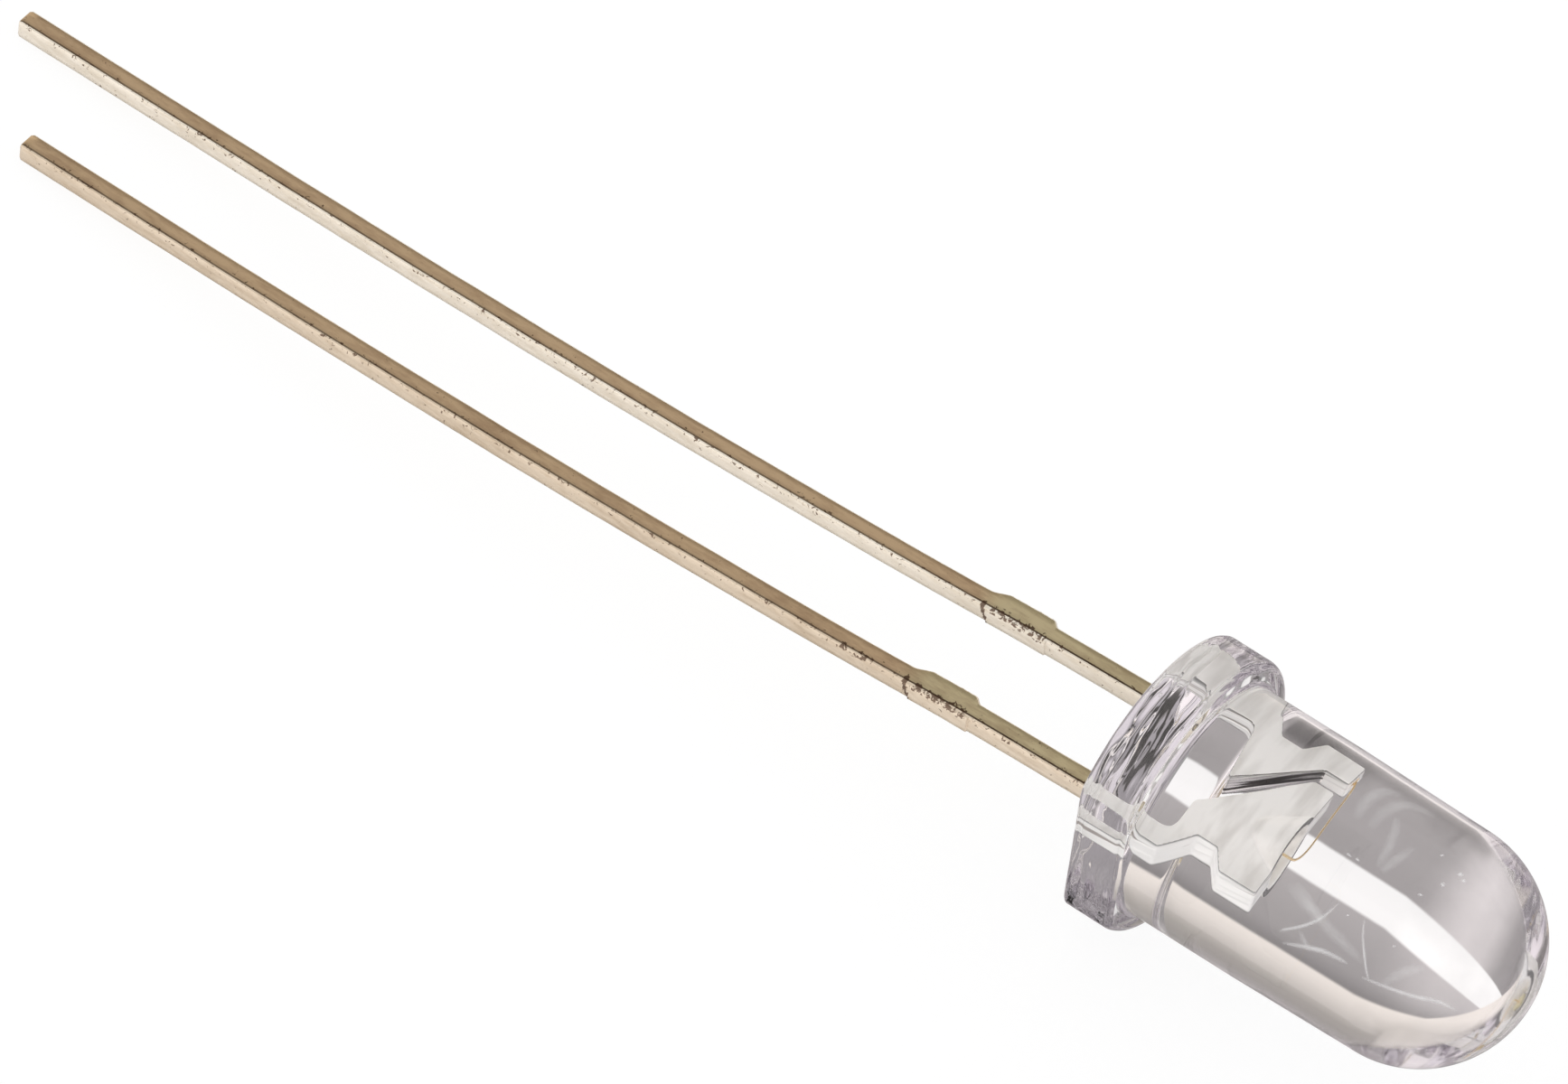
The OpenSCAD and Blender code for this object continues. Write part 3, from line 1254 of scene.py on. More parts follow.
@dataclass(frozen=True)
class PostHead(Head):
    """The anode's head: a notched post that takes the wire.

    Attributes:
        swell: How much wider the stem is inside the resin.
        top: Its height above the base plane.
        foot: Height at which it widens from the stem.
        side: Place of the side that faces the anvil.
        tip: Place across of the point at the slanting side's foot.
        tip_foot: Height of that point.
        inset: How far its outer side stands back from the stem's.
        notch: Depth of the notch in its outer side.
    """

    swell: float = 0.1
    top: float = 3.58
    foot: float = 1.46
    side: float = -1.12
    tip: float = -0.39
    tip_foot: float = 1.65
    inset: float = 0.3
    notch: float = 0.2

    def outline(self) -> list[Point]:
        """The head's outline, with its stem.

        Returns:
            Places across and along.
        """
        left, inner = self.stem - self.HALF, self.stem + self.HALF
        right = inner + self.swell
        out = left + self.inset
        return [
            (left, self.stem_end),
            (left, self.foot - 0.12),
            (out, self.foot + 0.12),
            (out, self.foot + 0.19),
            (out + self.notch, self.foot + 0.47),
            (out + self.notch, self.foot + 0.96),
            (out, self.foot + 1.24),
            (out, self.top),
            (self.side, self.top),
            (self.side, self.corner),
            (self.tip, self.tip_foot),
            (right + 0.14, self.foot),
            (right + 0.04, self.foot - 0.05),
            (right, self.foot - 0.2),
            (right, 0.3),
            (inner, 0.15),
            (inner, self.stem_end),
        ]

    def side_of(self, at: Vector, way: Vector) -> Surface:
        """Which kind of surface a face lies on.

        Args:
            at: The face's middle.
            way: Where it looks.

        Returns:
            The slot where it looks at the anvil, whose finish carries painted shade, else the face or the
            punched edge.
        """
        if abs(way.y) >= self.FLAT_LOOK:
            return Surface.FACE
        at_anvil = self.side - 0.03 < at.x < self.tip + 0.02
        slanted = self.foot + 0.05 < at.z < self.corner + 0.03
        return Surface.SHADED_SLOT if at_anvil and slanted and way.x > 0.5 else Surface.EDGE


@dataclass(frozen=True)
class AnvilHead(Head):
    """The cathode's head: a notched anvil with the cup pressed into its top.

    Attributes:
        top: Height of the cup's rim above the base plane.
        foot: Height at which it widens from the stem.
        half: How far it reaches toward the anode side.
        out: How far it reaches toward the cathode side.
        tip: Place across of the slanting side's foot.
        notch: Depth of the notch in its outer side.
        cup_outer: Radius of the cup's cone at its rim.
        cup_mouth: Radius of the bowl's mouth.
        cup_floor: Radius of the bowl's floor.
        cup_depth: Depth of the bowl.
        cup_body: Height of the cone.
    """

    top: float = 3.5
    foot: float = 1.42
    half: float = 0.94
    out: float = 1.03
    tip: float = 0.18
    notch: float = 0.38
    cup_outer: float = 0.58
    cup_mouth: float = 0.42
    cup_floor: float = 0.25
    cup_depth: float = 0.34
    cup_body: float = 0.9

    def outline(self) -> list[Point]:
        """The head's outline, with its stem.

        Returns:
            Places across and along.
        """
        left, right = self.stem - self.HALF, self.stem + self.HALF
        floor = self.out - self.notch
        return [
            (right, self.stem_end),
            (right, self.foot - 0.05),
            (floor, self.foot + 0.47),
            (floor, self.foot + 0.94),
            (self.out, self.foot + 1.24),
            (self.out, self.top),
            (-self.half, self.top),
            (-self.half, self.corner),
            (self.tip, self.foot),
            (left - 0.2, self.foot),
            (left - 0.06, self.foot - 0.06),
            (left, self.foot - 0.2),
            (left, self.stem_end),
        ]

    def pressed(self) -> tuple[list[Mesh], list[Mesh]]:
        """The cup's cone and its bowl.

        Returns:
            The cone, which is added, and the bowl, which is cut away.
        """
        cone = turned([(self.HALF, self.top - self.cup_body), (self.cup_outer, self.top)])
        rim, mouth = (self.cup_mouth, self.top), (self.cup_mouth, self.top + 0.3)
        bowl = turned([(self.cup_floor, self.top - self.cup_depth), rim, mouth])
        return [cone], [bowl]

    def side_of(self, at: Vector, way: Vector) -> Surface:
        """Which kind of surface a face lies on.

        Args:
            at: The face's middle.
            way: Where it looks.

        Returns:
            The edge on punched faces and on the cup's rim, else the face.
        """
        inward = at.x * way.x + at.y * way.y < 0
        in_bowl = math.hypot(at.x, at.y) < self.cup_mouth + 0.04
        if inward and in_bowl and at.z > self.top - self.cup_depth - 0.02:
            return Surface.FACE
        rise = (at.z - self.top + self.cup_body) / self.cup_body
        on_cone = rise > 0 and abs(at.x) < 0.255 + rise * (self.cup_outer - self.HALF)
        on_edge = abs(way.y) < self.FLAT_LOOK and (way.z > 0.6 or not on_cone)
        return Surface.EDGE if on_edge else Surface.FACE


@dataclass
class Lead:
    """A whole lead: its run and its head, joined into one piece.

    Attributes:
        axes: The lamp's frame.
        node: The CAD node that it stands for.
        wire: Its run.
        head: Its head.
        near_end: Distance below the base at which the near tin's tint has faded.
        near_fade: Distance over which it fades.
    """

    axes: LampAxes
    node: str
    wire: LeadWire
    head: PostHead | AnvilHead
    near_end: float = 5.2
    near_fade: float = 0.8

    def build(self, finishes: Sequence[Material]) -> Piece:
        """Makes the lead.

        Args:
            finishes: Rolled tin, sheared tin, the crease between them with painted shade,
            then silver on the face, on the punched edges with painted shade at their
            corners, and in the slot, painted dark as shade.

        Returns:
            The lead.
        """
        bm = self.wire.mesh()
        head = bpy.data.meshes.new("head")
        shaped = self.head.mesh()
        shaped.normal_update()
        for face in shaped.faces:
            face.material_index = self.head.side_of(face.calc_center_median(), face.normal).value
        shaped.to_mesh(head)
        shaped.free()
        bm.from_mesh(head)
        bpy.data.meshes.remove(head)
        sheet = 2 * self.wire.stock.half
        marks = {
            "wear_and_step_shade": self.wire.wear_and_step_shade,
            "close": lambda at: smooth_step((at.z + self.near_end) / self.near_fade),
            "through": lambda at: at.y / sheet + 0.5,
        }
        lead = as_object(bm, self.wire.name, self.axes.place, finishes, 40.0, marks)
        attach(lead, "root")
        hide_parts(self.node)
        return lead


# ---------------------------------------------------------------- painted light in the epoxy


@dataclass(frozen=True)
class Wisp:
    """A thin pale line just under the epoxy's skin, a painted reflection of a streak of light.

    Attributes:
        course: Angle about the axis in degrees and height in millimetres, in order.
        half: Half its width, in millimetres.
    """

    course: Table
    half: float = 0.022


@dataclass(frozen=True)
class PaintedLightFinish:
    """Pale painted light that fades out toward the edges of each line.

    Attributes:
        name: The material's name.
        share: How much of it shows in the middle of a line.
        colour: Its colour.
        clouds: Clouds in a metre of it.
    """

    name: str
    share: float
    colour: Colour = (0.95, 0.945, 0.94)
    clouds: float = 2500.0

    def build(self) -> Material:
        """Makes the material.

        Returns:
            The pale resin.
        """
        n = Nodes(self.name)
        uneven = n.spread(n.noise(n.place, self.clouds, 3.0), 0.3, 0.6, self.share * 0.8, self.share)
        there = n.times(n.mark("fade"), uneven)
        return n.finish(Base_Color=(*self.colour, 1.0), Roughness=0.8, Alpha=there, Specular_IOR_Level=0.0)


@dataclass(frozen=True)
class PaintedLightStreaks:
    """All the painted light streaks and glints in the epoxy.

    Attributes:
        axes: The lamp's frame.
        radius: Radius at which they lie, in millimetres.
        dome_foot: Height of the dome's start, in millimetres.
    """

    axes: LampAxes
    radius: float = 2.36
    dome_foot: float = 6.35

    ACROSS: ClassVar[tuple[float, ...]] = (-1.0, -0.55, -0.2, 0.2, 0.55, 1.0)
    STRONG: ClassVar[tuple[Wisp, ...]] = (
        Wisp(((-48.0, 5.34), (-40.8, 5.24), (-35.0, 5.1), (-29.4, 4.9), (-24.0, 4.64), (-21.7, 4.53))),
        Wisp(((-48.2, 5.93), (-41.4, 6.06), (-34.1, 6.26), (-27.1, 6.46), (-24.8, 6.55)), 0.016),
        Wisp(((-16.9, 4.68), (-20.9, 5.06), (-24.2, 5.44), (-25.7, 5.81), (-25.8, 6.04)), 0.03),
        Wisp(
            ((-23.9, 6.41), (-25.0, 6.76), (-26.7, 7.42), (-28.1, 7.73), (-27.4, 7.94), (-24.8, 8.11)), 0.026
        ),
    )
    FAINT: ClassVar[tuple[Wisp, ...]] = (
        Wisp(
            ((-42.9, 4.27), (-40.2, 4.62), (-37.9, 5.06), (-35.5, 5.41), (-32.7, 5.93), (-30.3, 6.3)), 0.035
        ),
        Wisp(((-45.4, 4.42), (-40.3, 4.89), (-36.7, 5.2)), 0.03),
        Wisp(((-25.7, 6.83), (-33.1, 6.99), (-39.3, 7.19), (-42.1, 7.38)), 0.03),
        Wisp(((-27.2, 4.92), (-23.7, 5.08), (-21.4, 5.28)), 0.02),
        Wisp(((-85.3, 4.64), (-95.3, 4.54), (-104.0, 4.54), (-110.9, 4.64), (-114.2, 4.87)), 0.04),
        Wisp(((-85.4, 4.98), (-95.4, 4.93), (-106.8, 5.03), (-112.8, 5.27), (-114.6, 5.73)), 0.04),
        Wisp(((-99.3, 5.18), (-90.3, 5.39), (-80.9, 5.51), (-71.0, 5.57)), 0.03),
        Wisp(((-89.0, 5.88), (-77.4, 5.76), (-70.2, 5.68)), 0.03),
    )
    FLECKS: ClassVar[tuple[Wisp, ...]] = (
        Wisp(((-92.5, 6.86), (-91.0, 6.92)), 0.05),
        Wisp(((-90.6, 6.98), (-89.6, 7.04)), 0.04),
        Wisp(((-81.8, 6.73), (-81.0, 6.82)), 0.035),
        Wisp(((-71.4, 6.56), (-70.4, 6.58)), 0.04),
        Wisp(((-94.6, 6.36), (-93.9, 6.4)), 0.035),
        Wisp(((-44.8, 6.68), (-44.2, 6.7)), 0.03),
        Wisp(((-45.6, 5.6), (-45.0, 5.62)), 0.025),
        Wisp(((-69.0, 4.92), (-68.6, 5.04)), 0.02),
        Wisp(((-69.3, 5.12), (-69.0, 5.22)), 0.02),
    )

    def at(self, angle: float, height: float) -> Vector:
        """A place just under the skin, by its angle in degrees and its height."""
        up = max(0.0, height - self.dome_foot)
        return polar(math.sqrt(max(self.radius**2 - up * up, 0.0)), math.radians(angle), height)

    def line(self, wisp: Wisp, spread: float, bm: Mesh) -> None:
        """Draws one line as a narrow band that thins out at its ends.

        Args:
            wisp: The wisp.
            spread: How much wider than itself it is drawn.
            bm: The mesh that takes it.
        """
        fade = bm.verts.layers.float["fade"]
        path = [self.at(p.x, p.y) for p in spline([Vector((a, z, 0)) for a, z in wisp.course], 6)]
        rows = []
        for i, centre in enumerate(path):
            outward = Vector((centre.x, centre.y, max(0.0, centre.z - self.dome_foot)))
            side = heading(path, i).cross(outward).normalized()
            end = math.sin(math.pi * (i + 0.3) / (len(path) - 0.4)) ** 0.6
            row = []
            for across in self.ACROSS:
                vert = bm.verts.new(centre + side * across * wisp.half * spread * (0.4 + 0.6 * end))
                vert[fade] = end * (1.0 - across * across) ** 1.5
                row.append(vert)
            rows.append(row)
        for low, high in zip(rows, rows[1:]):
            for k in range(len(low) - 1):
                bm.faces.new((low[k], low[k + 1], high[k + 1], high[k]))

    def build(self) -> list[Piece]:
        """Makes the marks.

        Returns:
            Strong streaks, faint streaks and glints, all painted light.
        """
        pieces = []
        for name, wisps, share, spread in (
            # painted light: pale streaks and glints that stand in for reflections seen through the resin
            ("painted_light_lines", self.STRONG, 0.62, 2.2),
            ("painted_light_haze", self.FAINT, 0.23, 4.2),
            ("painted_glints", self.FLECKS, 0.7, 1.5),
        ):
            bm = bmesh.new()
            bm.verts.layers.float.new("fade")
            for wisp in wisps:
                self.line(wisp, spread, bm)
            pieces.append(as_object(bm, name, self.axes.place, [PaintedLightFinish(name, share).build()]))
        for piece in pieces:
            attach(piece, "root")
        return pieces


# ---------------------------------------------------------------- chip, paste and wire


@dataclass(frozen=True)
class Chip:
    """The light-emitting chip on its bed of paste.

    Sizes are in millimetres.

    Attributes:
        axes: The lamp's frame.
        floor: Height of the cup's floor.
        paste: Thickness of the paste.
        half: Half the chip's side.
        height: The chip's height.
        bed: Radius of the paste.
    """

    axes: LampAxes
    floor: float = 3.16
    paste: float = 0.03
    half: float = 0.13
    height: float = 0.14
    bed: float = 0.224

    @property
    def top(self) -> float:
        """Height of the chip's top."""
        return self.floor + self.paste + self.height

    def square(self, half: float, z: float) -> Ring:
        """A square with eased corners."""
        corners = [(-half, -half), (half, -half), (half, half), (-half, half)]
        return [Vector((x, y, z)) for x, y in rounded(corners, half * 0.12, 3)]

    def chip(self) -> Piece:
        """Makes the chip: sawn sides that lean a little, and a pad.

        Returns:
            The chip.
        """
        bm = bmesh.new()
        low = self.floor + self.paste
        block = [(self.half, low), (self.half * 0.985, self.top - 0.012), (self.half * 0.9, self.top)]
        pad = [(self.half * 0.5, self.top), (self.half * 0.46, self.top + 0.004)]
        for levels in (block, pad):
            skin([self.square(half, z) for half, z in levels], bm)
        chip = as_object(bm, "chip", self.axes.place, [CHIP_STONE.build()])
        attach(chip, "root")
        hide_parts("led_die")
        return chip

    def bed_of_paste(self) -> Piece:
        """Makes the paste, squeezed out unevenly round the chip.

        Returns:
            The paste.
        """
        bm = bmesh.new()
        angles = [TURN * i / 64 for i in range(64)]
        uneven = [0.95 + 0.05 * noise.noise(polar(2.0, a, 1.0)) for a in angles]
        levels = ((1.0, 0.0), (0.98, 0.45), (0.9, 0.85), (0.78, 1.0), (0.5, 1.0))
        rings = []
        for share, height in levels:
            z = self.floor + self.paste * height
            rings.append([polar(self.bed * share * u, a, z) for a, u in zip(angles, uneven)])
        skin(rings, bm)
        paste = as_object(bm, "paste_bed", self.axes.place, [SILVER_PASTE.build()])
        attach(paste, "root")
        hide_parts("die_attach")
        return paste


@dataclass(frozen=True)
class BondWire:
    """The gold wire: a ball on the chip, a low loop, and a stitch on the post.

    Sizes are in millimetres.

    Attributes:
        axes: The lamp's frame.
        start: Height of the chip's top.
        end: Place across and height of the stitch.
        crest: Height of the loop's top.
        radius: The wire's radius.
        ball: Radius of the ball and of the stitch.
        ball_height: Height of the ball.
        stitch_height: Height of the stitch.
    """

    axes: LampAxes
    start: float
    end: Point = (-1.26, 3.58)
    crest: float = 3.69
    radius: float = 0.018
    ball: float = 0.0576
    ball_height: float = 0.036
    stitch_height: float = 0.016

    ROUNDING: ClassVar[Table] = ((0.0, 0.9), (0.3, 1.0), (0.7, 0.85), (1.0, 0.35))

    def path(self) -> list[Vector]:
        """The wire's centre line.

        Returns:
            Points from the chip to the post.
        """
        x, z = self.end
        knots = [
            (0, self.start),
            (0, self.crest - 0.12),
            (-0.03, self.crest - 0.01),
            (-0.16, self.crest + 0.05),
            (-0.4, self.crest + 0.06),
            (x + 0.3, self.crest),
            (x + 0.1, self.crest - 0.04),
            (x + 0.02, z + 0.03),
            (x, z),
        ]
        return spline([Vector((across, 0, up)) for across, up in knots], 10)

    def build(self) -> Piece:
        """Makes the wire.

        Returns:
            The wire.
        """
        bm = bmesh.new()
        path = self.path()
        tube(path, [self.radius] * len(path), bm)
        widths = [self.ball * width for _, width in self.ROUNDING]
        for centre, height in ((path[0], self.ball_height), (path[-1], self.stitch_height)):
            tube([centre + Vector((0, 0, height * up)) for up, _ in self.ROUNDING], widths, bm)
        wire = as_object(bm, "gold_wire", self.axes.place, [GOLD.build()])
        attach(wire, "root")
        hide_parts("bond_wire")
        return wire


# ---------------------------------------------------------------- the studio


class Tint(Enum):
    """Tints of the room's greys."""

    GREY = (1.0, 0.935, 0.93)
    BEIGE = (1.0, 0.92, 0.85)
    LILAC = (1.0, 0.925, 0.975)
    WHITE = (1.0, 0.985, 0.97)


@dataclass(frozen=True)
class Shade:
    """A darker patch of the room.

    Attributes:
        turn: Where it starts and ends about the axis, in degrees.
        turn_soft: How soft those two edges are, as a share of a whole turn.
        depth: Where it starts and ends along the axis, as a share of the direction.
        depth_soft: How soft those two edges are.
        take: Share of the light that it takes.
    """

    turn: Point
    turn_soft: float
    depth: Point
    depth_soft: float
    take: float

    def taken(self, n: Nodes, turn: Socket, depth: Socket) -> Socket:
        """How much light it takes in a direction.

        Args:
            n: The world's nodes.
            turn: Angle about the lamp's axis as a share of a whole turn.
            depth: Share of the direction along the axis.

        Returns:
            The share.
        """
        start, end = (share_of_turn(angle) for angle in self.turn)
        across = n.between(turn, start, end, self.turn_soft)
        return n.times(across, n.between(depth, *self.depth, self.depth_soft), self.take)


def share_of_turn(angle: float) -> float:
    """An angle in degrees as a share of a whole turn, 0.5 away from the front."""
    return angle / 360 + 0.5


@dataclass(frozen=True)
class Room:
    """What the lamp's clear body and its metal see round them.

    The room is told in three directions that stay put: away from the front of the
    lamp, over it, and along it. Below and behind the lamp lies a bright slit between
    two dim cards. Their edges are straight lines, given by their place at no slope
    and by how far they lean. A slope is a direction's part over the lamp or toward
    the leads, divided by its part away from the front.

    Attributes:
        away: Direction away from the front.
        over: Direction over the lamp.
        along: The lamp's axis toward the dome.
        slit_low, slit_high: The slit's two edges: place and lean.
        slit_level: Brightness of the slit.
        slit_shut: Brightness of the slit's end toward the dome.
        slit_end: Share of the direction toward the leads at which that end stops.
        card_edge: Slope over the lamp at which the upper card gives way to the wall.
        card_fold: Slope toward the leads from which that edge leans.
        card_lean: How far it leans.
        far_edge: Slope below the lamp at which the lower card ends.
        far_level: Brightness beyond it.
        soft: Half the width of the edges.
        reach: Slope over the lamp at the far end of the CARD and WALL tables.
        light: Strength of the soft light on dull surfaces.
    """

    away: Vector
    over: Vector
    along: Vector
    slit_low: Point = (-0.21, 0.115)
    slit_high: Point = (-0.02, 0.21)
    slit_level: float = 1.05
    slit_shut: float = 0.34
    slit_end: float = 0.28
    card_edge: float = 0.59
    card_fold: float = 1.0
    card_lean: float = -0.356
    far_edge: float = -2.8
    far_level: float = 0.95
    soft: float = 0.012
    reach: float = 5.0
    light: float = 1.5

    # A ramp holds brightness up to 1, so tables that go higher are halved for it.
    HALVED: ClassVar[float] = 2.0
    LEFT: ClassVar[Table] = (
        (0.0, 0.42), (0.3, 0.38), (0.39, 0.44), (0.454, 0.56), (0.53, 0.68), (0.6, 0.76), (0.707, 0.68),
        (0.819, 0.34), (0.94, 0.24),
    )
    CARD: ClassVar[Table] = ((0.01, 0.45), (0.08, 0.35), (0.11, 0.24))
    CARD_DEPTH: ClassVar[Table] = ((0.33, 0.5), (0.45, 0.55), (0.6, 0.72), (0.8, 0.8))
    WALL: ClassVar[Table] = (
        (0.12, 0.93), (0.18, 0.71), (0.22, 0.54), (0.28, 0.41), (0.4, 0.34), (0.6, 0.255), (0.8, 0.23),
    )
    WALL_DEPTH: ClassVar[Table] = (
        (0.45, 0.0), (0.53, 0.62), (0.6, 0.74), (0.707, 0.7), (0.82, 0.5), (0.94, 0.46),
    )
    LIFT: ClassVar[Table] = (
        (-90, 0.18), (-62, 0.18), (-45, 0.52), (-32, 0.66), (-16, 0.44), (0, 0.3), (16, 0.28), (60, 0.28),
    )
    HIGH: ClassVar[Table] = ((-60, 0.85), (-32, 0.85), (0, 0.74), (24, 0.62), (38, 0.33), (60, 0.3))
    ABOVE: ClassVar[Table] = (
        (0.0, 0.8), (0.25, 1.15), (0.45, 1.15), (0.6, 0.6), (0.72, 0.28), (0.86, 0.37), (0.95, 0.5),
    )
    LOW_SHADES: ClassVar[tuple[Shade, ...]] = (
        Shade((-69, -51), 0.02, (-1.0, 0.5), 0.04, 0.4),
        Shade((-69, -41), 0.02, (-1.0, 0.312), 0.012, 0.75),
    )
    HIGH_SHADE: ClassVar[Shade] = Shade((-28, 13), 0.01, (0.17, 0.34), 0.02, 0.88)

    def past(self, n: Nodes, side: Socket, down: Socket, line: Point) -> Socket:
        """Share of 1 beyond a straight edge, told by its place and lean."""
        return n.step(n.math("SUBTRACT", side, n.times(down, line[1])), line[0], self.soft)

    def low_room(self, n: Nodes, side: Socket, down: Socket, fall: Socket, turn: Socket) -> Socket:
        """The part below and behind the lamp.

        Args:
            n: The world's nodes.
            side: Slope over the lamp.
            down: Slope toward the leads.
            fall: Share of the direction toward the leads.
            turn: Angle about the lamp's axis as a share of a whole turn.

        Returns:
            Its colour.
        """
        dim = n.times(*(n.rest(shade.taken(n, turn, fall)) for shade in self.LOW_SHADES))
        lower = n.times(n.level(fall, self.LEFT), dim)
        lower = n.blend(n.step(side, self.far_edge, 0.3), (self.far_level,) * 3 + (1.0,), lower)
        open_slit = n.times(n.step(fall, self.slit_end, 0.015), self.slit_level - self.slit_shut)
        slit = n.product(n.math("ADD", open_slit, self.slit_shut), Tint.WHITE.value)
        colour = n.blend(self.past(n, side, down, self.slit_low), n.product(lower, Tint.GREY.value), slit)
        far = n.math("DIVIDE", side, self.reach)
        card = n.times(n.level(far, self.CARD), n.times(n.level(fall, self.CARD_DEPTH), self.HALVED))
        card = n.product(card, Tint.GREY.value)
        colour = n.blend(self.past(n, side, down, self.slit_high), colour, card)
        wall = n.math("MAXIMUM", n.level(far, self.WALL), n.level(fall, self.WALL_DEPTH))
        fold = n.times(n.math("MAXIMUM", n.math("SUBTRACT", down, self.card_fold), 0.0), self.card_lean)
        outer = n.step(n.math("SUBTRACT", side, fold), self.card_edge, self.soft * 2)
        return n.blend(outer, colour, n.product(wall, Tint.BEIGE.value))

    def high_room(self, n: Nodes, climb: Socket, turn: Socket) -> Socket:
        """The part behind the lamp on its dome's side, with a dark corner.

        Args:
            n: The world's nodes.
            climb: Share of the direction toward the dome.
            turn: Angle about the lamp's axis as a share of a whole turn.

        Returns:
            Its colour.
        """
        tables = ([(share_of_turn(a), b) for a, b in table] for table in (self.LIFT, self.HIGH))
        lift, high = (n.level(turn, table) for table in tables)
        dark = self.HIGH_SHADE.taken(n, turn, climb)
        lift = n.times(lift, n.rest(dark))
        lilac = n.product(n.blend(n.step(climb, 0.5, 0.1), lift, high), Tint.LILAC.value)
        return n.blend(dark, lilac, n.product(lift, Tint.BEIGE.value))

    def build(self) -> bpy.types.World:
        """Makes the world: plain white to the camera and for soft light.

        Returns:
            The world.
        """
        world = bpy.data.worlds.new("room")
        n = Nodes.of_world(world)
        way = n.add("TexCoord").outputs["Generated"]
        away, over, climb = n.dot(way, self.away), n.dot(way, self.over), n.dot(way, self.along)
        turn = n.math("ADD", n.math("DIVIDE", n.math("ARCTAN2", over, away), TURN), 0.5)
        deep = n.math("MAXIMUM", away, 0.02)
        fall = n.times(climb, -1.0)
        side, down = n.math("DIVIDE", over, deep), n.math("DIVIDE", fall, deep)
        low = self.low_room(n, side, down, fall, turn)
        back = n.blend(n.step(climb, 0.03, 0.06), low, self.high_room(n, climb, turn))
        height = n.math("ADD", n.times(over, 0.5), 0.5)
        above = n.level(height, [(place, value / self.HALVED) for place, value in self.ABOVE])
        above = n.scaled(n.product(above, Tint.GREY.value), self.HALVED)
        room = n.blend(n.step(away, -0.03, 0.06), above, back)
        room = n.product(room, n.spread(n.noise(way, 3.0, 4.0), 0.3, 0.7, 0.92, 1.08))
        path = n.add("LightPath")
        soft = n.math("MINIMUM", path.outputs["Diffuse Depth"], 1.0)
        lit = n.blend(soft, room, (self.light,) * 3 + (1.0,))
        n.wire(n.shader, "Color", n.blend(path.outputs["Is Camera Ray"], lit, (1.0, 1.0, 1.0, 1.0)))
        return world


@dataclass(frozen=True)
class Studio:
    """Bench, room and camera.

    Attributes:
        axes: The lamp's frame.
        tilt: Angle by which the dome leans toward the camera, in degrees.
        roll: Angle by which the cathode side is turned up to the camera.
        slant: Angle of the lamp's axis below the picture's level.
        width: Width of the view at the lamp, in millimetres.
        aside: Place of the base centre right of and below the view's middle.
        away: Distance of the camera, in millimetres.
        sensor: Width of the camera's sensor, in millimetres.
        floor_grey: Brightness of the floor's matt surface.
        floor_glow: Share of the floor's own white, which leaves the rest to shadow.
    """

    axes: LampAxes
    tilt: float = 19.5
    roll: float = 36.8
    slant: float = 32.15
    width: float = 29.914
    aside: Point = (6.983, 4.362)
    away: float = 320.0
    sensor: float = 36.0
    floor_grey: float = 0.78
    floor_glow: float = 0.9

    @property
    def front(self) -> Vector:
        """Direction square to the lamp's axis in which its front looks."""
        r = math.radians(self.roll)
        return self.axes.across * math.sin(r) + self.axes.face * math.cos(r)

    def directions(self) -> tuple[Vector, Vector, Vector]:
        """The camera's right, up and backward directions.

        Returns:
            Three unit vectors.
        """
        t, s = math.radians(self.tilt), math.radians(self.slant)
        a = self.axes.along
        back = a * math.sin(t) + self.front * math.cos(t)
        flat = (a - back * a.dot(back)).normalized()
        over = back.cross(flat)
        right = flat * math.cos(s) + over * math.sin(s)
        up = over * math.cos(s) - flat * math.sin(s)
        return right, up, back

    def camera(self) -> Piece:
        """Makes the camera.

        Returns:
            The camera, which is the scene's.
        """
        right, up, back = self.directions()
        data = bpy.data.cameras.new("camera")
        data.sensor_width = self.sensor
        data.lens = self.sensor * self.away / self.width
        data.clip_start = 0.01
        data.clip_end = 10.0
        look_at = self.axes.base - right * self.aside[0] * MM + up * self.aside[1] * MM
        camera = bpy.data.objects.new("camera", data)
        turn = Matrix((right, up, back)).transposed().to_4x4()
        camera.matrix_world = Matrix.Translation(look_at + back * self.away * MM) @ turn
        bpy.context.scene.collection.objects.link(camera)
        bpy.context.scene.camera = camera
        return camera

    def room(self) -> None:
        """Makes the room round the bench."""
        over = self.front.cross(self.axes.along)
        bpy.context.scene.world = Room(-self.front, over, self.axes.along).build()

    def floor(self) -> Piece:
        """Makes the bench, which keeps a light shadow of the lamp.

        Clear and polished surfaces don't see it, so that the lamp's edges darken.

        Returns:
            The floor.
        """
        bm = bmesh.new()
        bmesh.ops.create_grid(bm, x_segments=4, y_segments=4, size=0.6)
        mesh = bpy.data.meshes.new("floor")
        bm.to_mesh(mesh)
        bm.free()
        floor = bpy.data.objects.new("floor", mesh)
        bpy.context.scene.collection.objects.link(floor)
        n = Nodes("floor")
        matte = n.finish(Base_Color=(self.floor_grey,) * 3 + (1.0,), Roughness=0.9)
        share = n.times(n.add("LightPath").outputs["Is Camera Ray"], self.floor_glow)
        white = n.add("Emission", {"Color": (1.0, 1.0, 1.0, 1.0), "Strength": 1.0})
        n.out("Surface", n.add("MixShader", {0: share, 1: n.shader.outputs[0], 2: white.outputs[0]}))
        mesh.materials.append(matte)
        floor.visible_transmission = False
        floor.visible_glossy = False
        return floor


# ---------------------------------------------------------------- making it all


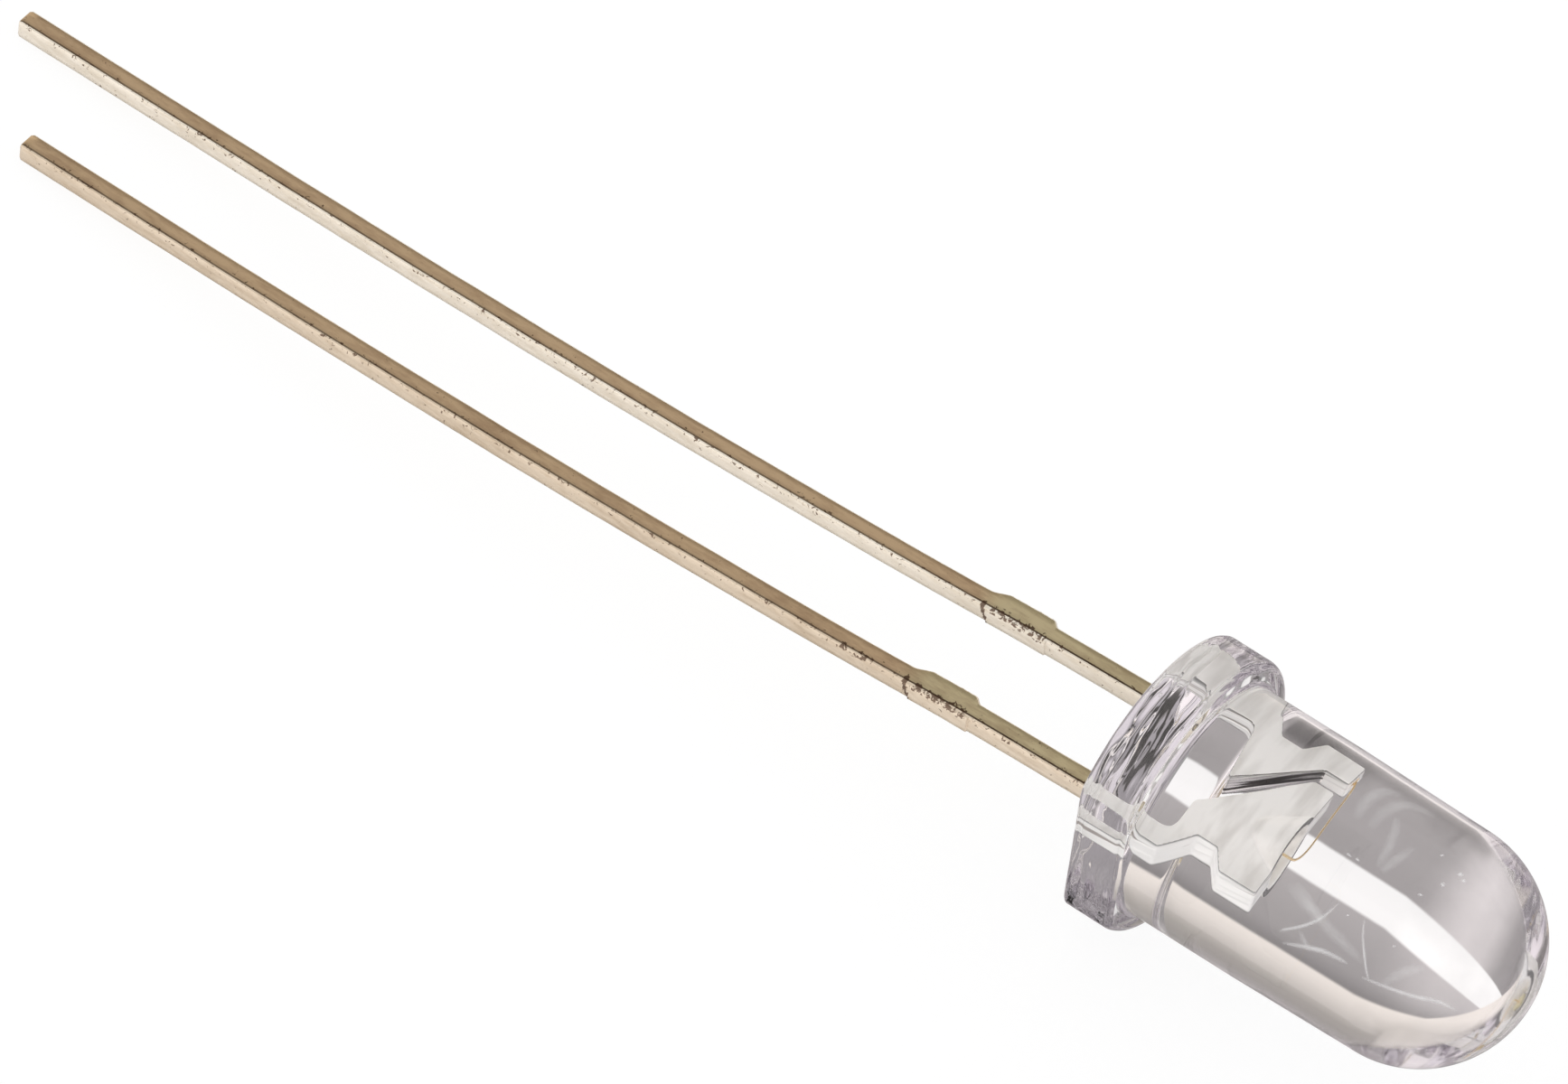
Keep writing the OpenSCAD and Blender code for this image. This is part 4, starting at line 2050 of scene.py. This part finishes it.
def lead_finishes() -> list[Material]:
    """Makes the finishes that both leads have.

    Returns:
        Rolled and clean sheared tin, their crease with painted shade, then silver on
        the face, on the punched edges with painted shade at their corners, and in the
        slot, painted dark as shade.
    """
    return [
        Tin("tin_rolled", (0.915, 0.7, 0.43), (0.7, 0.51, 0.31), (1.02, 1.18, 1.18)).build(),
        Tin("tin_sheared", (0.86, 0.8, 0.69), (0.74, 0.67, 0.55), (1.0,) * 3, gloss=0.4, metal=0.5).build(),
        # painted shade: a dark brown line along the crease between the upper face and the broken edge
        Tin("tin_crease_painted_shade", (0.42, 0.33, 0.22), (0.2, 0.14, 0.09), (0.55, 0.55, 0.55)).build(),
        SilverPlate().build(),
        PunchedSilver("silver_punched_corner_shade").build(),
        # painted shade: streaked nearly black as the shade in the gap between post and anvil
        PunchedSilver("silver_slot_painted_shade", dark=(0.07, 0.06, 0.055), torn=0.47, metal=0.8).build(),
    ]


def main() -> None:
    """Builds the studio and every piece."""
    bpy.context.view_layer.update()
    axes = LampAxes.from_frame(frame)
    nodes = frame["nodes"]
    studio = Studio(axes)
    studio.camera()
    studio.room()
    studio.floor()
    low, high = axes.box(nodes["lens_body"])
    pair = {m["name"]: m for m in frame["record"]["mounts"]}["lead_pair"]
    middle = (Vector(pair["pos_m"]) - axes.base).dot(axes.across) / MM
    pitch = pair["dims"]["spacing_y_mm"]
    anode_x, cathode_x = middle - pitch / 2, middle + pitch / 2
    LOG.info("leads at %.3f and %.3f mm", anode_x, cathode_x)
    body = EpoxyBody(axes, high.z, -low.x, high.x, (anode_x, cathode_x)).build()
    LOG.info("made %s", body.name)
    for piece in PaintedLightStreaks(axes).build():
        LOG.info("made %s", piece.name)
    finishes = lead_finishes()
    tan, dark_tan, near_tan = (0.72, 0.61, 0.47), (0.58, 0.47, 0.34), (1.1, 1.12, 1.15)
    sheared = Tin("tin_tarnished", tan, dark_tan, near_tan, gloss=0.4, metal=0.5).build()
    tarnished = [finishes[0], sheared, *finishes[2:]]
    anode_end = -axes.box(nodes["anode_lead"])[0].z
    cathode_end = -axes.box(nodes["cathode_lead"])[0].z
    anode = LeadWire("anode", anode_x, anode_end, ((3.4, 4.6),), 0.0)
    cathode = LeadWire("cathode", cathode_x, cathode_end, ((0.2, 0.9), (3.4, 4.6), (5.5, 6.3)), 7.0)
    for lead, dressed in (
        (Lead(axes, "anode_lead", anode, PostHead(anode_x)), finishes),
        (Lead(axes, "cathode_lead", cathode, AnvilHead(cathode_x)), tarnished),
    ):
        LOG.info("made %s", lead.build(dressed).name)
    chip = Chip(axes)
    for piece in (chip.chip(), chip.bed_of_paste(), BondWire(axes, chip.top).build()):
        LOG.info("made %s", piece.name)
    scene = bpy.context.scene
    scene.view_settings.view_transform = "Standard"
    scene.cycles.max_bounces = BOUNCES
    scene.cycles.glossy_bounces = BOUNCES
    scene.cycles.transmission_bounces = BOUNCES
    scene.cycles.transparent_max_bounces = CLEAR_LAYERS


if __name__ == "__main__":
    logging.basicConfig(level=logging.INFO)
    main()
